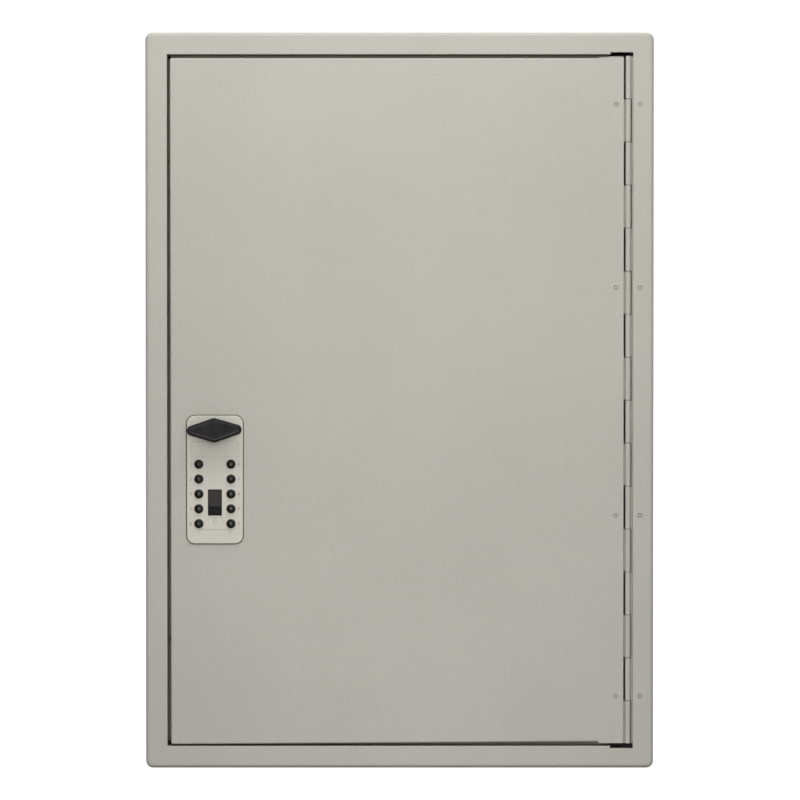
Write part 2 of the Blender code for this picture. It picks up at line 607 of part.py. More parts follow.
def build_cover_and_fasteners(door_axis):
    cover = object_from(lock_box((-CHASSIS_X, CHASSIS_X), (COVER_FRONT, COVER_FRONT + COVER_T),
                                 (-CHASSIS_Z, CHASSIS_Z), 2 * MM), "lock_rear_cover", PARTS)
    cut(cover, "screw_holes", *[lock_rod(1.6 * MM, x, z, COVER_FRONT - MM, COVER_FRONT + 3 * MM, 12)
                                for x, z in corners(BOSS_X, BOSS_Z)])
    settle(cover, "zinc", door_axis, lock_point(0, COVER_FRONT, 0))

    shank, head = 1.2 * MM, 2.6 * MM
    screw_profile = [(0, 8.0 * MM), (shank - 0.3 * MM, 8.0 * MM), (shank, 7.6 * MM), (shank, 0),
                     (head, 0), (head, -1.0 * MM), (head - 0.8 * MM, -1.6 * MM), (0, -1.6 * MM)]
    screw = facing_front(turned("cover_screw", screw_profile, 12))
    head_y = COVER_FRONT + COVER_T + GAP
    copies(screw, "steel", [(f"cover_screw_{index + 1}", lock_point(x, head_y, z))
                            for index, (x, z) in enumerate(corners(BOSS_X, BOSS_Z))], [door_axis] * 4)

    nut = object_from(rod_bmesh(NUT_R, (0, 0, 0), (0, NUT_T, 0), 6), "lock_nut", PARTS)
    cut(nut, "thread", rod_bmesh(STUD_R + GAP, (0, -MM, 0), (0, NUT_T + MM, 0), 12))
    bpy.context.view_layer.update()
    copies(baked(nut), "steel", [(f"lock_nut_{index + 1}", lock_point(x, NUT_FRONT, z))
                                 for index, (x, z) in enumerate(corners(STUD_X, STUD_Z))], [door_axis] * 4)


def build_buttons(door_axis):
    """A domed cap, a flange that stops it behind the plate and a stem through the chassis's wall."""
    dome_steps = 3
    arc = [math.pi / 2 * step / dome_steps for step in range(dome_steps + 1)]
    dome = [(BUTTON_R * math.sin(a), BUTTON_RISE - BUTTON_DOME * (1 - math.cos(a))) for a in arc]
    behind = PLATE_FRONT - CHASSIS_FRONT
    flange_back = behind - BUTTON_FLANGE_T
    stem_end = PLATE_FRONT - STEM_END
    profile = dome + [(BUTTON_R, behind), (BUTTON_FLANGE_R, behind), (BUTTON_FLANGE_R, flange_back),
                      (STEM_R, flange_back), (STEM_R, stem_end), (0, stem_end)]
    cap = facing_front(turned("button", profile, 12))
    flange_rear = CHASSIS_FRONT + BUTTON_FLANGE_T
    spring_length = WALL_FRONT - flange_rear - 2 * GAP
    spring = facing_front(coil("button_spring", SPRING_R, SPRING_WIRE_R, spring_length, 2.5))
    caps, springs = [], []
    for digit, x, z in button_places():
        caps.append((f"button_{digit}", lock_point(x, PLATE_FRONT, z)))
        springs.append((f"button_spring_{digit}", lock_point(x, flange_rear + GAP, z)))
    copies(cap, "black", caps, [door_axis] * 10)
    copies(spring, "steel", springs, [door_axis] * 10)


def build_clear_slide(door_axis):
    slide = object_from(lock_box((-SLIDE_PLATE_X, SLIDE_PLATE_X), (CHASSIS_FRONT, SLIDE_BACK),
                                 (SLIDE_PLATE_BOTTOM, SLIDE_PLATE_TOP)), "clear_slide", PARTS)
    join(slide, "thumb_pad", lock_box((-SLIDE_X, SLIDE_X), (SLIDE_FRONT, CHASSIS_FRONT + 0.4 * MM),
                                      (SLIDE_LEDGE, SLIDE_TOP)))
    lug_low = SLIDE_PLATE_BOTTOM + 0.2 * MM
    join(slide, "lug", lock_box((-LUG_X, LUG_X), (SLIDE_BACK - 0.4 * MM, LUG_REAR),
                                (lug_low, lug_low + LUG_T)))
    settle(slide, "slide", door_axis, lock_point(0, CHASSIS_FRONT, SLIDE_PLATE_TOP))
    top = lug_low - GAP
    length = top + POCKET_Z - GAP
    wound = coil("clear_spring", 1.5 * MM, 0.22 * MM, length, 4.5)
    copies(wound, "steel", [("clear_spring", lock_point(0, CLEAR_SPRING_Y, top))], [door_axis])


def lozenge(steps=40):
    """The knob's outline: the band round four discs, two at its ends and two at its apexes."""
    end = KNOB_LENGTH / 2 - KNOB_END_R
    apex = KNOB_WIDTH / 2 - KNOB_APEX_R
    discs = [(Vector((end, 0)), KNOB_END_R), (Vector((-end, 0)), KNOB_END_R),
             (Vector((0, apex)), KNOB_APEX_R), (Vector((0, -apex)), KNOB_APEX_R)]
    outline = []
    for step in range(steps):
        angle = math.tau * (step + 0.5) / steps
        way = Vector((math.cos(angle), math.sin(angle)))
        centre, radius = max(discs, key=lambda disc: disc[0].dot(way) + disc[1])
        outline.append(centre + radius * way)
    return outline


def build_knob(knob_axis):
    outline = [Matrix.Rotation(KNOB_TILT, 2) @ point for point in lozenge()]
    blank = extruded("open_knob_blank", outline, KNOB_T)
    place = Matrix.Translation((LOCK_X, KNOB_FRONT + KNOB_T / 2, KNOB_Z))
    blank.matrix_world = place @ TO_FRONT
    bpy.context.view_layer.update()
    knob = bpy.data.objects.new("open_knob", baked(blank))
    PARTS.objects.link(knob)
    bevel = knob.modifiers.new("edge", "BEVEL")
    bevel.width = 0.9 * MM
    bevel.segments = 2
    bevel.limit_method = "ANGLE"
    bevel.angle_limit = math.radians(50)
    z = KNOB_Z - LOCK_Z
    join(knob, "hub", lock_rod(HUB_R, 0, z, KNOB_FRONT + KNOB_T - MM, HUB_BACK, 20))
    side = SQUARE + GAP
    cut(knob, "square_socket", lock_box((-side, side), (SPINDLE_TIP - GAP, 0), (z - side, z + side)))
    settle(knob, "black", knob_axis, BASES[knob_axis.name])


def build_spindle(knob_axis):
    """A round shaft with a clip groove, a square nose in the knob and a cam disc with a crank pin."""
    disc_edge = CAM_REAR
    profile = [(0, HUB_BACK), (SPINDLE_R, HUB_BACK), (SPINDLE_R, GROOVE_FRONT), (GROOVE_R, GROOVE_FRONT),
               (GROOVE_R, GROOVE_REAR), (SPINDLE_R, GROOVE_REAR), (SPINDLE_R, CAM_FRONT),
               (CAM_R, CAM_FRONT), (CAM_R, disc_edge), (0, disc_edge)]
    mesh = turned("spindle_body", [(radius, -y) for radius, y in profile], 20)
    mesh.transform(Matrix.Translation((LOCK_X, 0, KNOB_Z)) @ TO_FRONT)
    spindle = bpy.data.objects.new("knob_spindle", mesh)
    PARTS.objects.link(spindle)
    z = KNOB_Z - LOCK_Z
    join(spindle, "square_nose", lock_box((-SQUARE, SQUARE), (SPINDLE_TIP, HUB_BACK + MM),
                                          (z - SQUARE, z + SQUARE)))
    pin_x, pin_z = CRANK_R * math.sin(CRANK_START), z - CRANK_R * math.cos(CRANK_START)
    join(spindle, "crank_pin", lock_rod(CRANK_PIN_R, pin_x, pin_z, CAM_REAR - MM, CRANK_PIN_END, 14))
    settle(spindle, "steel", knob_axis, BASES[knob_axis.name])

    middle = -(GROOVE_FRONT + GROOVE_REAR) / 2
    ring = [(CLIP_OUT, middle + CLIP_T / 2), (CLIP_OUT, middle - CLIP_T / 2),
            (CLIP_IN, middle - CLIP_T / 2), (CLIP_IN, middle + CLIP_T / 2)]
    mesh = turned("clip_ring", ring, 20)
    mesh.transform(Matrix.Translation((LOCK_X, 0, KNOB_Z)) @ TO_FRONT)
    clip = bpy.data.objects.new("knob_retainer", mesh)
    PARTS.objects.link(clip)
    cut(clip, "mouth", lock_box((-1.9 * MM, 1.9 * MM), (-80 * MM, -70 * MM), (z - 8 * MM, z - MM)))
    settle(clip, "steel", knob_axis, BASES[knob_axis.name])


def build_bolt(door_axis):
    bolt = object_from(box_bmesh((BOLT_TIP, BOLT_FRONT, BOLT_BOTTOM), (BOLT_TAIL, BOLT_REAR, BOLT_TOP)),
                       "latch_bolt", PARTS)
    play = 0.45 * MM
    pin_x = LOCK_X + CRANK_R * math.sin(CRANK_START)
    slot_x = CRANK_PIN_R + play
    slot_top = KNOB_Z - CRANK_R * math.cos(CRANK_START) + CRANK_PIN_R + play
    slot_bottom = KNOB_Z - CRANK_R - CRANK_PIN_R - play
    cut(bolt, "crank_slot", box_bmesh((pin_x - slot_x, BOLT_FRONT - MM, slot_bottom),
                                      (pin_x + slot_x, BOLT_REAR + MM, slot_top)))
    middle_z = (BOLT_TOP + BOLT_BOTTOM) / 2
    settle(bolt, "steel", door_axis, (BOLT_TIP, BOLT_REAR, middle_z))


def build():
    door_axis = axis_empty("door_swing_axis", AXIS)
    knob_axis = axis_empty("knob_turn_axis", (LOCK_X, PLATE_FRONT, KNOB_Z), door_axis)
    build_case_shell()
    build_back_panel()
    build_bumpers()
    build_strike_bracket()
    build_hinge(door_axis)
    build_hook_rails()
    build_door_panel(door_axis)
    build_faceplate(door_axis)
    build_housing(door_axis)
    build_cover_and_fasteners(door_axis)
    build_buttons(door_axis)
    build_clear_slide(door_axis)
    build_knob(knob_axis)
    build_spindle(knob_axis)
    build_bolt(door_axis)
    for mesh in list(bpy.data.meshes):
        if mesh.users == 0:
            bpy.data.meshes.remove(mesh)


clear_scene()
PARTS = make_collection("key_cabinet")
CUTTERS = make_collection("cutters")
BASES = {}                          # world place of each axis empty
MATERIALS = {
    "paint": make_material("grey_powder_coat", (0.46, 0.45, 0.41), 0.55),
    "plate": make_material("grey_painted_casting", (0.47, 0.46, 0.40), 0.5),
    "black": make_material("black_plastic", (0.022, 0.022, 0.022), 0.4),
    "slide": make_material("dark_grey_plastic", (0.05, 0.047, 0.045), 0.5),
    "zinc": make_material("zinc_plated_steel", (0.62, 0.62, 0.60), 0.35, 1.0),
    "steel": make_material("bright_steel", (0.60, 0.60, 0.62), 0.3, 1.0),
    "rubber": make_material("black_rubber", (0.02, 0.02, 0.02), 0.85),
}
build()
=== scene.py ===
"""Looks of the key cabinet: a powder-coated steel case and door, a painted push-button lock and its
black controls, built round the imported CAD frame. Units are metres, +Z is up and the door faces -Y."""

import math

import bmesh
import bpy
from mathutils import Matrix, Vector


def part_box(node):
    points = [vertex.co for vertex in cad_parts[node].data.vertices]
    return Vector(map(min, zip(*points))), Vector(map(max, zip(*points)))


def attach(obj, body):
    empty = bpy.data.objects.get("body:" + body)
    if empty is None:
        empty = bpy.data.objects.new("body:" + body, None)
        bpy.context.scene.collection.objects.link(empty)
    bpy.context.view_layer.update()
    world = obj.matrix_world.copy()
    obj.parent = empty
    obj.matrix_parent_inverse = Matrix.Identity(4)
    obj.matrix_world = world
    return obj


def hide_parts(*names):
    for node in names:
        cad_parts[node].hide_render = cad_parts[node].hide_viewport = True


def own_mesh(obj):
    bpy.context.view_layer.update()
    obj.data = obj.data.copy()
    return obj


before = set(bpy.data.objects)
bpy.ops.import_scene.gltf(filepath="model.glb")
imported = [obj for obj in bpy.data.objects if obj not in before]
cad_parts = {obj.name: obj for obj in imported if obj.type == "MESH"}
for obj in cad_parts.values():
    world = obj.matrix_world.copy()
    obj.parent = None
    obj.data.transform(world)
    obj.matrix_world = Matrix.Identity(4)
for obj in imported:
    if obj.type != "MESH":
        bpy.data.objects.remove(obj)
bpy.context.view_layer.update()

MM = 0.001
DIGITS = [str((index + 1) % 10) for index in range(10)]


# ---------------------------------------------------------------- sizes, read from the frame

CASE_LOW, CASE_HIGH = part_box("case_shell")
DOOR_LOW, DOOR_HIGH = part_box("door_panel")
PLATE_LOW, PLATE_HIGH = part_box("lock_faceplate")
PIN_LOW, PIN_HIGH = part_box("hinge_pin")
KNOB_LOW, KNOB_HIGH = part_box("open_knob")
SLIDE_LOW, SLIDE_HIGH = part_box("clear_slide")

SHEET = 1.0 * MM
FRONT = CASE_LOW.y                       # the case's and the door's front faces
BEHIND = FRONT + SHEET
CORNER, ROLL = 5.0 * MM, 3.0 * MM
OPENING_X, OPENING_Z = 166.3 * MM, 247.85 * MM
LIP_X, LIP_Z = 165.5 * MM, 246.3 * MM     # planes of the left lip and of the top and bottom lips
LIP, HEM, LIP_END_X, FOLD = 12.5 * MM, 1.9 * MM, 150.0 * MM, 2.8 * MM
STOP_Z, STOP_Y, STOP_HALF, STOP_REACH = 170.0 * MM, -71.0 * MM, 8.0 * MM, 5.2 * MM
BUMPER_X, BUMPER_HOLE_R = -160.2 * MM, 1.8 * MM

AXIS = (PIN_LOW + PIN_HIGH) / 2
KNUCKLES = 16
HINGE_TOP, HINGE_BOTTOM = PIN_HIGH.z, PIN_LOW.z
KNUCKLE = (HINGE_TOP - HINGE_BOTTOM) / KNUCKLES
BARREL_R, BORE_R, PIN_R, LEAF = 1.9 * MM, 1.05 * MM, 0.9 * MM, 0.8 * MM
LEAF_WIDTH = 14.4 * MM
NOTCH_REACH = {1: 2.6 * MM, -1: 3.4 * MM}     # how far a notch clears a knuckle, frame and door leaf
WELD_ROWS = (210.8 * MM, 80.4 * MM, -81.8 * MM, -210.7 * MM)
WELD_DOOR_X, WELD_FRAME_X, WELD_R, WELD_TUBE = 154.1 * MM, 171.2 * MM, 1.35 * MM, 0.5 * MM

DOOR_TOP, DOOR_FOOT = 243.65 * MM, -243.2 * MM      # bent edges, where the bent part starts
PAN_DROP, PAN_DRAW = 1.9 * MM, 0.6 * MM             # how the pan's lower free corner is off square
DOOR_FLAT_X, DOOR_FLANGE = 142.7 * MM, 10.0 * MM
DOOR_CORNER, DOOR_BEND = 1.5 * MM, 1.2 * MM
STUD_R, STUD_X, STUD_Z, STUD_END = 2.0 * MM, 16.0 * MM, 52.5 * MM, -74.5 * MM

LOCK = Vector(((PLATE_LOW.x + PLATE_HIGH.x) / 2, 0, (PLATE_LOW.z + PLATE_HIGH.z) / 2))
PLATE_X, PLATE_Z = (PLATE_HIGH.x - PLATE_LOW.x) / 2, (PLATE_HIGH.z - PLATE_LOW.z) / 2
PLATE_FRONT, PLATE_BACK, PLATE_CORNER = PLATE_LOW.y, -82.0 * MM, 5.7 * MM
PLATE_MARGIN = 0.65 * MM
BUTTON_R, BUTTON_HOLE_R, BUTTON_RISE = 2.95 * MM, 3.25 * MM, 2.0 * MM
WINDOW_X, WINDOW_TOP, WINDOW_BOTTOM = 5.0 * MM, -6.95 * MM, -25.75 * MM
KNOB = (KNOB_LOW + KNOB_HIGH) / 2
SPINDLE_HOLE_R = 3.4 * MM

RAILS, HOOKS, HOOK_PITCH, RAIL_FACE = 12, 10, 30.0 * MM, -2.3 * MM
WIRE_R = 0.2 * MM


# ---------------------------------------------------------------- shapes

def box(low, high, corner=0.0, front=0.0, segments=8):
    """A box whose edges along Y are rounded by corner and whose front face's edges by front."""
    bm = bmesh.new()
    bmesh.ops.create_cube(bm, size=1.0)
    low, high = Vector(low), Vector(high)
    bmesh.ops.scale(bm, vec=high - low, verts=bm.verts)
    bmesh.ops.translate(bm, vec=(high + low) / 2, verts=bm.verts)
    if corner:
        round_edges(bm, lambda a, b: abs(a.y - b.y) > 1e-6, corner, segments)
    if front:
        round_edges(bm, lambda a, b: max(a.y, b.y) < low.y + 1e-6, front, segments)
    return bm


def round_edges(bm, chosen, radius, segments=6):
    """Rounds the edges whose two end points chosen(a, b) accepts."""
    edges = [edge for edge in bm.edges if chosen(*(vert.co for vert in edge.verts))]
    bmesh.ops.bevel(bm, geom=edges, offset=radius, segments=segments, profile=0.5, affect="EDGES",
                    clamp_overlap=True)


def rod(radius, start, end, sides=32):
    start, end = Vector(start), Vector(end)
    bm = bmesh.new()
    bmesh.ops.create_cone(bm, cap_ends=True, segments=sides, radius1=radius, radius2=radius,
                          depth=(end - start).length)
    turn = (end - start).to_track_quat("Z", "Y").to_matrix().to_4x4()
    bmesh.ops.transform(bm, matrix=Matrix.Translation((start + end) / 2) @ turn, verts=bm.verts)
    return bm


def lathe(profile, centre, sides=32):
    """A profile of (radius, reach out of the door) points, turned round an axis along Y."""
    bm = bmesh.new()
    verts = [bm.verts.new((radius, -reach, 0)) for radius, reach in profile]
    edges = [bm.edges.new(pair) for pair in zip(verts, verts[1:])]
    if profile[0][0] > 0:
        edges.append(bm.edges.new((verts[-1], verts[0])))
    bmesh.ops.spin(bm, geom=verts + edges, cent=(0, 0, 0), axis=(0, 1, 0), angle=math.tau,
                   steps=sides, use_merge=True, use_duplicate=False)
    bmesh.ops.remove_doubles(bm, verts=bm.verts, dist=1e-6)
    bmesh.ops.recalc_face_normals(bm, faces=bm.faces)
    bmesh.ops.translate(bm, vec=Vector(centre), verts=bm.verts)
    return bm


def stacked(rings):
    """A skin over rings of points with equal counts, closed at the first ring and at the last one."""
    bm = bmesh.new()
    loops = [[bm.verts.new(point) for point in ring] for ring in rings]
    for lower, upper in zip(loops, loops[1:]):
        for index in range(len(lower)):
            after = (index + 1) % len(lower)
            bm.faces.new((lower[index], lower[after], upper[after], upper[index]))
    bm.faces.new(loops[-1])
    bm.faces.new(list(reversed(loops[0])))
    bmesh.ops.recalc_face_normals(bm, faces=bm.faces)
    return bm


def merged(bmeshes):
    result = bmesh.new()
    for bm in bmeshes:
        mesh = bpy.data.meshes.new("group_member")
        bm.to_mesh(mesh)
        bm.free()
        result.from_mesh(mesh)
        bpy.data.meshes.remove(mesh)
    return result


def piece(name, bm):
    mesh = bpy.data.meshes.new(name)
    bm.to_mesh(mesh)
    bm.free()
    obj = bpy.data.objects.new(name, mesh)
    bpy.context.scene.collection.objects.link(obj)
    return obj


def apply_modifiers(obj):
    bpy.context.view_layer.update()
    depsgraph = bpy.context.evaluated_depsgraph_get()
    mesh = bpy.data.meshes.new_from_object(obj.evaluated_get(depsgraph))
    old = obj.data
    obj.modifiers.clear()
    obj.data = mesh
    bpy.data.meshes.remove(old)


def boolean(obj, operation, *bmeshes):
    other = piece(obj.name + "_operand", merged(bmeshes))
    modifier = obj.modifiers.new("boolean", "BOOLEAN")
    modifier.operation = operation
    modifier.solver = "EXACT"
    modifier.object = other
    apply_modifiers(obj)
    mesh = other.data
    bpy.data.objects.remove(other)
    bpy.data.meshes.remove(mesh)


def cut(obj, *bmeshes):
    boolean(obj, "DIFFERENCE", *bmeshes)


def join(obj, *bmeshes):
    boolean(obj, "UNION", *bmeshes)


def edit(obj, change):
    """Runs change(bm) on the object's mesh."""
    bm = bmesh.new()
    bm.from_mesh(obj.data)
    change(bm)
    bm.to_mesh(obj.data)
    bm.free()


def dress(obj, body, material, nodes=(), sharp=35):
    """Smooths a finished piece with flat faces kept flat, gives it its material and sets it riding."""
    obj.data.shade_smooth()
    obj.data.set_sharp_from_angle(angle=math.radians(sharp))
    weighted = obj.modifiers.new("weighted_normals", "WEIGHTED_NORMAL")
    weighted.keep_sharp = True
    weighted.weight = 100
    obj.data.materials.clear()
    obj.data.materials.append(material)
    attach(obj, body)
    if nodes:
        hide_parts(*nodes)
    return obj


def at_lock(x, y, z):
    """A place given from the middle of the lock's plate in x and z, and from the wall in y."""
    return Vector((LOCK.x + x, y, LOCK.z + z))


def lock_box(x, y, z, corner=0.0, front=0.0, segments=8):
    return box(at_lock(x[0], y[0], z[0]), at_lock(x[1], y[1], z[1]), corner, front, segments)


# ---------------------------------------------------------------- materials

class Nodes:
    """Short forms for building one material's node tree."""

    def __init__(self, name):
        self.material = bpy.data.materials.new(name)
        self.material.use_nodes = True
        self.tree = self.material.node_tree
        self.shader = self.tree.nodes["Principled BSDF"]
        self.coords = self.add("ShaderNodeTexCoord").outputs["Object"]

    def add(self, kind, **settings):
        node = self.tree.nodes.new(kind)
        for key, value in settings.items():
            setattr(node, key, value)
        return node

    def link(self, source, target):
        self.tree.links.new(source, target)

    def noise(self, scale, detail=2.0, roughness=0.5, stretch=None):
        node = self.add("ShaderNodeTexNoise")
        node.inputs["Scale"].default_value = scale
        node.inputs["Detail"].default_value = detail
        node.inputs["Roughness"].default_value = roughness
        self.link(self.stretched(stretch), node.inputs["Vector"])
        return node.outputs["Fac"]

    def cells(self, scale):
        node = self.add("ShaderNodeTexVoronoi", feature="SMOOTH_F1")
        node.inputs["Scale"].default_value = scale
        self.link(self.coords, node.inputs["Vector"])
        return node.outputs["Distance"]

    def stretched(self, stretch):
        if stretch is None:
            return self.coords
        mapping = self.add("ShaderNodeMapping")
        mapping.inputs["Scale"].default_value = stretch
        self.link(self.coords, mapping.inputs["Vector"])
        return mapping.outputs["Vector"]

    def spread(self, value, low, high, out_low=0.0, out_high=1.0):
        node = self.add("ShaderNodeMapRange")
        for key, number in (("From Min", low), ("From Max", high),
                            ("To Min", out_low), ("To Max", out_high)):
            node.inputs[key].default_value = number
        self.link(value, node.inputs["Value"])
        return node.outputs["Result"]

    def mix(self, factor, first, second):
        node = self.add("ShaderNodeMix", data_type="RGBA")
        if isinstance(factor, float):
            node.inputs["Factor"].default_value = factor
        else:
            self.link(factor, node.inputs["Factor"])
        for socket, value in ((node.inputs[6], first), (node.inputs[7], second)):
            if isinstance(value, tuple):
                socket.default_value = (*value, 1.0)
            else:
                self.link(value, socket)
        return node.outputs[2]

    def bumps(self, *layers):
        """Layers are (height, strength, distance), the coarsest first."""
        normal = None
        for height, strength, distance in layers:
            node = self.add("ShaderNodeBump")
            node.inputs["Strength"].default_value = strength
            node.inputs["Distance"].default_value = distance
            self.link(height, node.inputs["Height"])
            if normal is not None:
                self.link(normal, node.inputs["Normal"])
            normal = node.outputs["Normal"]
        self.link(normal, self.shader.inputs["Normal"])

    def convex_edges(self, radius):
        """About 1 on convex edges and 0 on flat faces."""
        bevel = self.add("ShaderNodeBevel", samples=4)
        bevel.inputs["Radius"].default_value = radius
        geometry = self.add("ShaderNodeNewGeometry")
        dot = self.add("ShaderNodeVectorMath", operation="DOT_PRODUCT")
        self.link(bevel.outputs["Normal"], dot.inputs[0])
        self.link(geometry.outputs["Normal"], dot.inputs[1])
        return self.spread(dot.outputs["Value"], 0.995, 0.9)

    def crevice(self, reach, low=0.35, high=0.8):
        """About 1 in narrow recesses and 0 in the open."""
        occlusion = self.add("ShaderNodeAmbientOcclusion", samples=6)
        occlusion.inputs["Distance"].default_value = reach
        return self.spread(occlusion.outputs["AO"], low, high, 1.0, 0.0)

    def set(self, socket, value):
        self.shader.inputs[socket].default_value = value


def linear(red, green, blue):
    """An sRGB colour, 0 to 255, as the shader's linear one."""
    def one(value):
        value /= 255
        return value / 12.92 if value <= 0.04045 else ((value + 0.055) / 1.055) ** 2.4
    return one(red), one(green), one(blue)


def powder_coat(name, colour, dark, light, grain=1.0, crease_shade=(132, 127, 112), gap_shade=(140, 131, 113)):
    """Baked powder paint: a fine orange peel, fainter grain in it, slow drifts of tone, and painted
    shade:
    a darker tint in its creases and a duller one deep inside gaps."""
    n = Nodes(name)
    base = linear(*colour)
    drift = n.spread(n.noise(9.0, 3.0), 0.3, 0.7)
    mottle = n.spread(n.noise(520.0, 3.0, 0.6), 0.35, 0.65)
    toned = n.mix(drift, linear(*dark), base)
    speckled = n.mix(mottle, toned, linear(*light))
    unshaded = n.mix(0.35, toned, speckled)
    # painted shade: in creases, where occlusion within 0.9 mm is high, the colour darkens
    crease_shaded = n.mix(n.crevice(0.9 * MM, 0.5, 0.9), unshaded, linear(*crease_shade))
    # painted shade: deep inside narrow gaps, where occlusion within 12 mm is high, the colour turns
    # duller and darker
    n.link(n.mix(n.crevice(12.0 * MM, 0.1, 0.3), crease_shaded, linear(*gap_shade)), n.shader.inputs["Base Color"])
    n.link(n.spread(n.noise(700.0), 0.3, 0.7, 0.50, 0.62), n.shader.inputs["Roughness"])
    n.set("Specular IOR Level", 0.42)
    n.bumps((n.noise(6.0, 1.0), 0.10, 1.5 * MM),
            (n.noise(430.0, 2.0, 0.55), 0.16 * grain, 0.35 * MM),
            (n.noise(1500.0, 2.0), 0.10 * grain, 0.12 * MM))
    return n.material


def black_plastic(name, colour, worn_and_lit, roughness=(0.34, 0.5), specular=0.24, edge=0.25 * MM):
    """Moulded plastic with a spark-eroded grain, and lighter convex edges that are partly worn by hands
    and partly a painted highlight.
    """
    n = Nodes(name)
    lit_worn_edges = n.convex_edges(edge)
    smudge = n.spread(n.noise(160.0, 4.0, 0.6), 0.35, 0.7)
    toned = n.mix(smudge, linear(*colour), linear(*worn_and_lit))
    # the lighter colour on convex edges is partly wear and partly a painted highlight; random smudges
    # drift towards it too
    n.link(n.mix(lit_worn_edges, n.mix(0.12, linear(*colour), toned), linear(*worn_and_lit)), n.shader.inputs["Base Color"])
    n.link(n.spread(n.noise(300.0, 3.0), 0.3, 0.7, *roughness), n.shader.inputs["Roughness"])
    n.set("Specular IOR Level", specular)
    n.bumps((n.noise(2600.0, 2.0), 0.25, 0.08 * MM))
    return n.material


def zinc(name):
    """Bright zinc plating on rolled sheet: rolling streaks, faint spangle and cloudy passivation."""
    n = Nodes(name)
    streaks = n.noise(40.0, 4.0, 0.6, (0.15, 8.0, 8.0))
    cloud = n.spread(n.noise(35.0, 4.0), 0.3, 0.7)
    spangle = n.spread(n.cells(220.0), 0.1, 0.6)
    tinted = n.mix(cloud, linear(178, 180, 182), linear(168, 172, 176))
    n.link(n.mix(spangle, tinted, linear(192, 192, 190)), n.shader.inputs["Base Color"])
    n.link(n.spread(streaks, 0.3, 0.7, 0.30, 0.46), n.shader.inputs["Roughness"])
    n.set("Metallic", 1.0)
    n.bumps((streaks, 0.06, 0.1 * MM), (n.noise(900.0), 0.05, 0.05 * MM))
    return n.material


def cast_zinc(name):
    """Unpainted die casting: dull grey skin with flow marks, a fine sandy grain, and painted shade
    darkening its recesses.
    """
    n = Nodes(name)
    flow = n.spread(n.noise(60.0, 5.0, 0.65, (1.0, 1.0, 0.35)), 0.3, 0.7)
    unshaded = n.mix(flow, linear(150, 151, 152), linear(176, 177, 178))
    # painted shade: a dark brown-grey where occlusion within 3 mm is high, such as behind the plate's gap
    n.link(n.mix(n.crevice(3.0 * MM), unshaded, linear(86, 80, 64)), n.shader.inputs["Base Color"])
    n.link(n.spread(flow, 0.0, 1.0, 0.42, 0.58), n.shader.inputs["Roughness"])
    n.set("Metallic", 1.0)
    n.bumps((n.noise(1800.0, 3.0), 0.2, 0.08 * MM))
    return n.material


def steel(name):
    """Drawn steel: fine lines along the part that also break up its gloss."""
    n = Nodes(name)
    lines = n.noise(320.0, 3.0, 0.6, (0.3, 6.0, 6.0))
    n.link(n.mix(n.spread(lines, 0.3, 0.7), linear(174, 175, 178), linear(194, 195, 197)),
           n.shader.inputs["Base Color"])
    n.link(n.spread(lines, 0.3, 0.7, 0.22, 0.36), n.shader.inputs["Roughness"])
    n.set("Metallic", 1.0)
    n.bumps((lines, 0.08, 0.05 * MM))
    return n.material


def rubber(name):
    """Dull moulded rubber with a dusty bloom."""
    n = Nodes(name)
    bloom = n.spread(n.noise(260.0, 4.0, 0.7), 0.4, 0.75)
    n.link(n.mix(bloom, linear(30, 30, 31), linear(58, 57, 56)), n.shader.inputs["Base Color"])
    n.link(n.spread(bloom, 0.0, 1.0, 0.72, 0.9), n.shader.inputs["Roughness"])
    n.bumps((n.noise(1200.0, 3.0), 0.3, 0.1 * MM))
    return n.material


# each powder coat below also carries painted shade in creases and deep gaps; for the number ink the last
# colour given is that crease shade
PAINT = powder_coat("powder_coat_grey", (190, 187, 178), (184, 181, 172), (200, 197, 188))
PLATE_PAINT = powder_coat("plate_paint", (211, 208, 195), (206, 203, 190), (218, 215, 203), 0.7)
BLACK = black_plastic("black_moulding", (33, 31, 31), (52, 50, 50), (0.42, 0.58), 0.09)
# the knob's pale edge colour over 0.5 mm is a painted highlight on its ridge and border
KNOB_BLACK = black_plastic("knob_moulding", (33, 32, 34), (104, 102, 102), (0.42, 0.58), 0.09, 0.5 * MM)
BUTTON_BLACK = black_plastic("button_moulding", (15, 14, 12), (30, 28, 25), (0.3, 0.42))
SLIDE_GREY = black_plastic("slide_moulding", (66, 62, 62), (70, 65, 63), (0.42, 0.56), 0.1)
# the digits' pale grey is their print's colour raised further into a painted highlight on each button's
# dome
DIGIT_AND_HIGHLIGHT = black_plastic("button_digit", (122, 118, 110), (150, 146, 138), (0.4, 0.55))
ZINC = zinc("zinc_plate")
CAST = cast_zinc("zinc_casting")
STEEL = steel("bright_steel")
RUBBER = rubber("bumper_rubber")
INK = powder_coat("number_ink", (44, 45, 48), (38, 39, 42), (60, 60, 62), 0.5, (30, 30, 30))


# ---------------------------------------------------------------- case

def weld_mark(x, z):
    """The cutter for a ring pressed round a spot weld: a torus half sunk in the face."""
    angles = [math.tau * step / 12 for step in range(12)]
    profile = [(WELD_R + WELD_TUBE * math.cos(angle), WELD_TUBE * math.sin(angle)) for angle in angles]
    return lathe(profile, (x, FRONT + 0.05 * MM, z), 28)


def lip_folds(a, b):
    """Whether an edge is one where the front turns back into the left, top or bottom lip."""
    on_front = max(a.y, b.y) < FRONT + 1e-5
    on_left = abs(max(a.x, b.x) + LIP_X) < 1e-5 and max(abs(a.z), abs(b.z)) < LIP_Z + 1e-5
    on_rail = max(abs(abs(a.z) - LIP_Z), abs(abs(b.z) - LIP_Z)) < 1e-5
    return on_front and (on_left or on_rail) and (a - b).length > 10 * MM


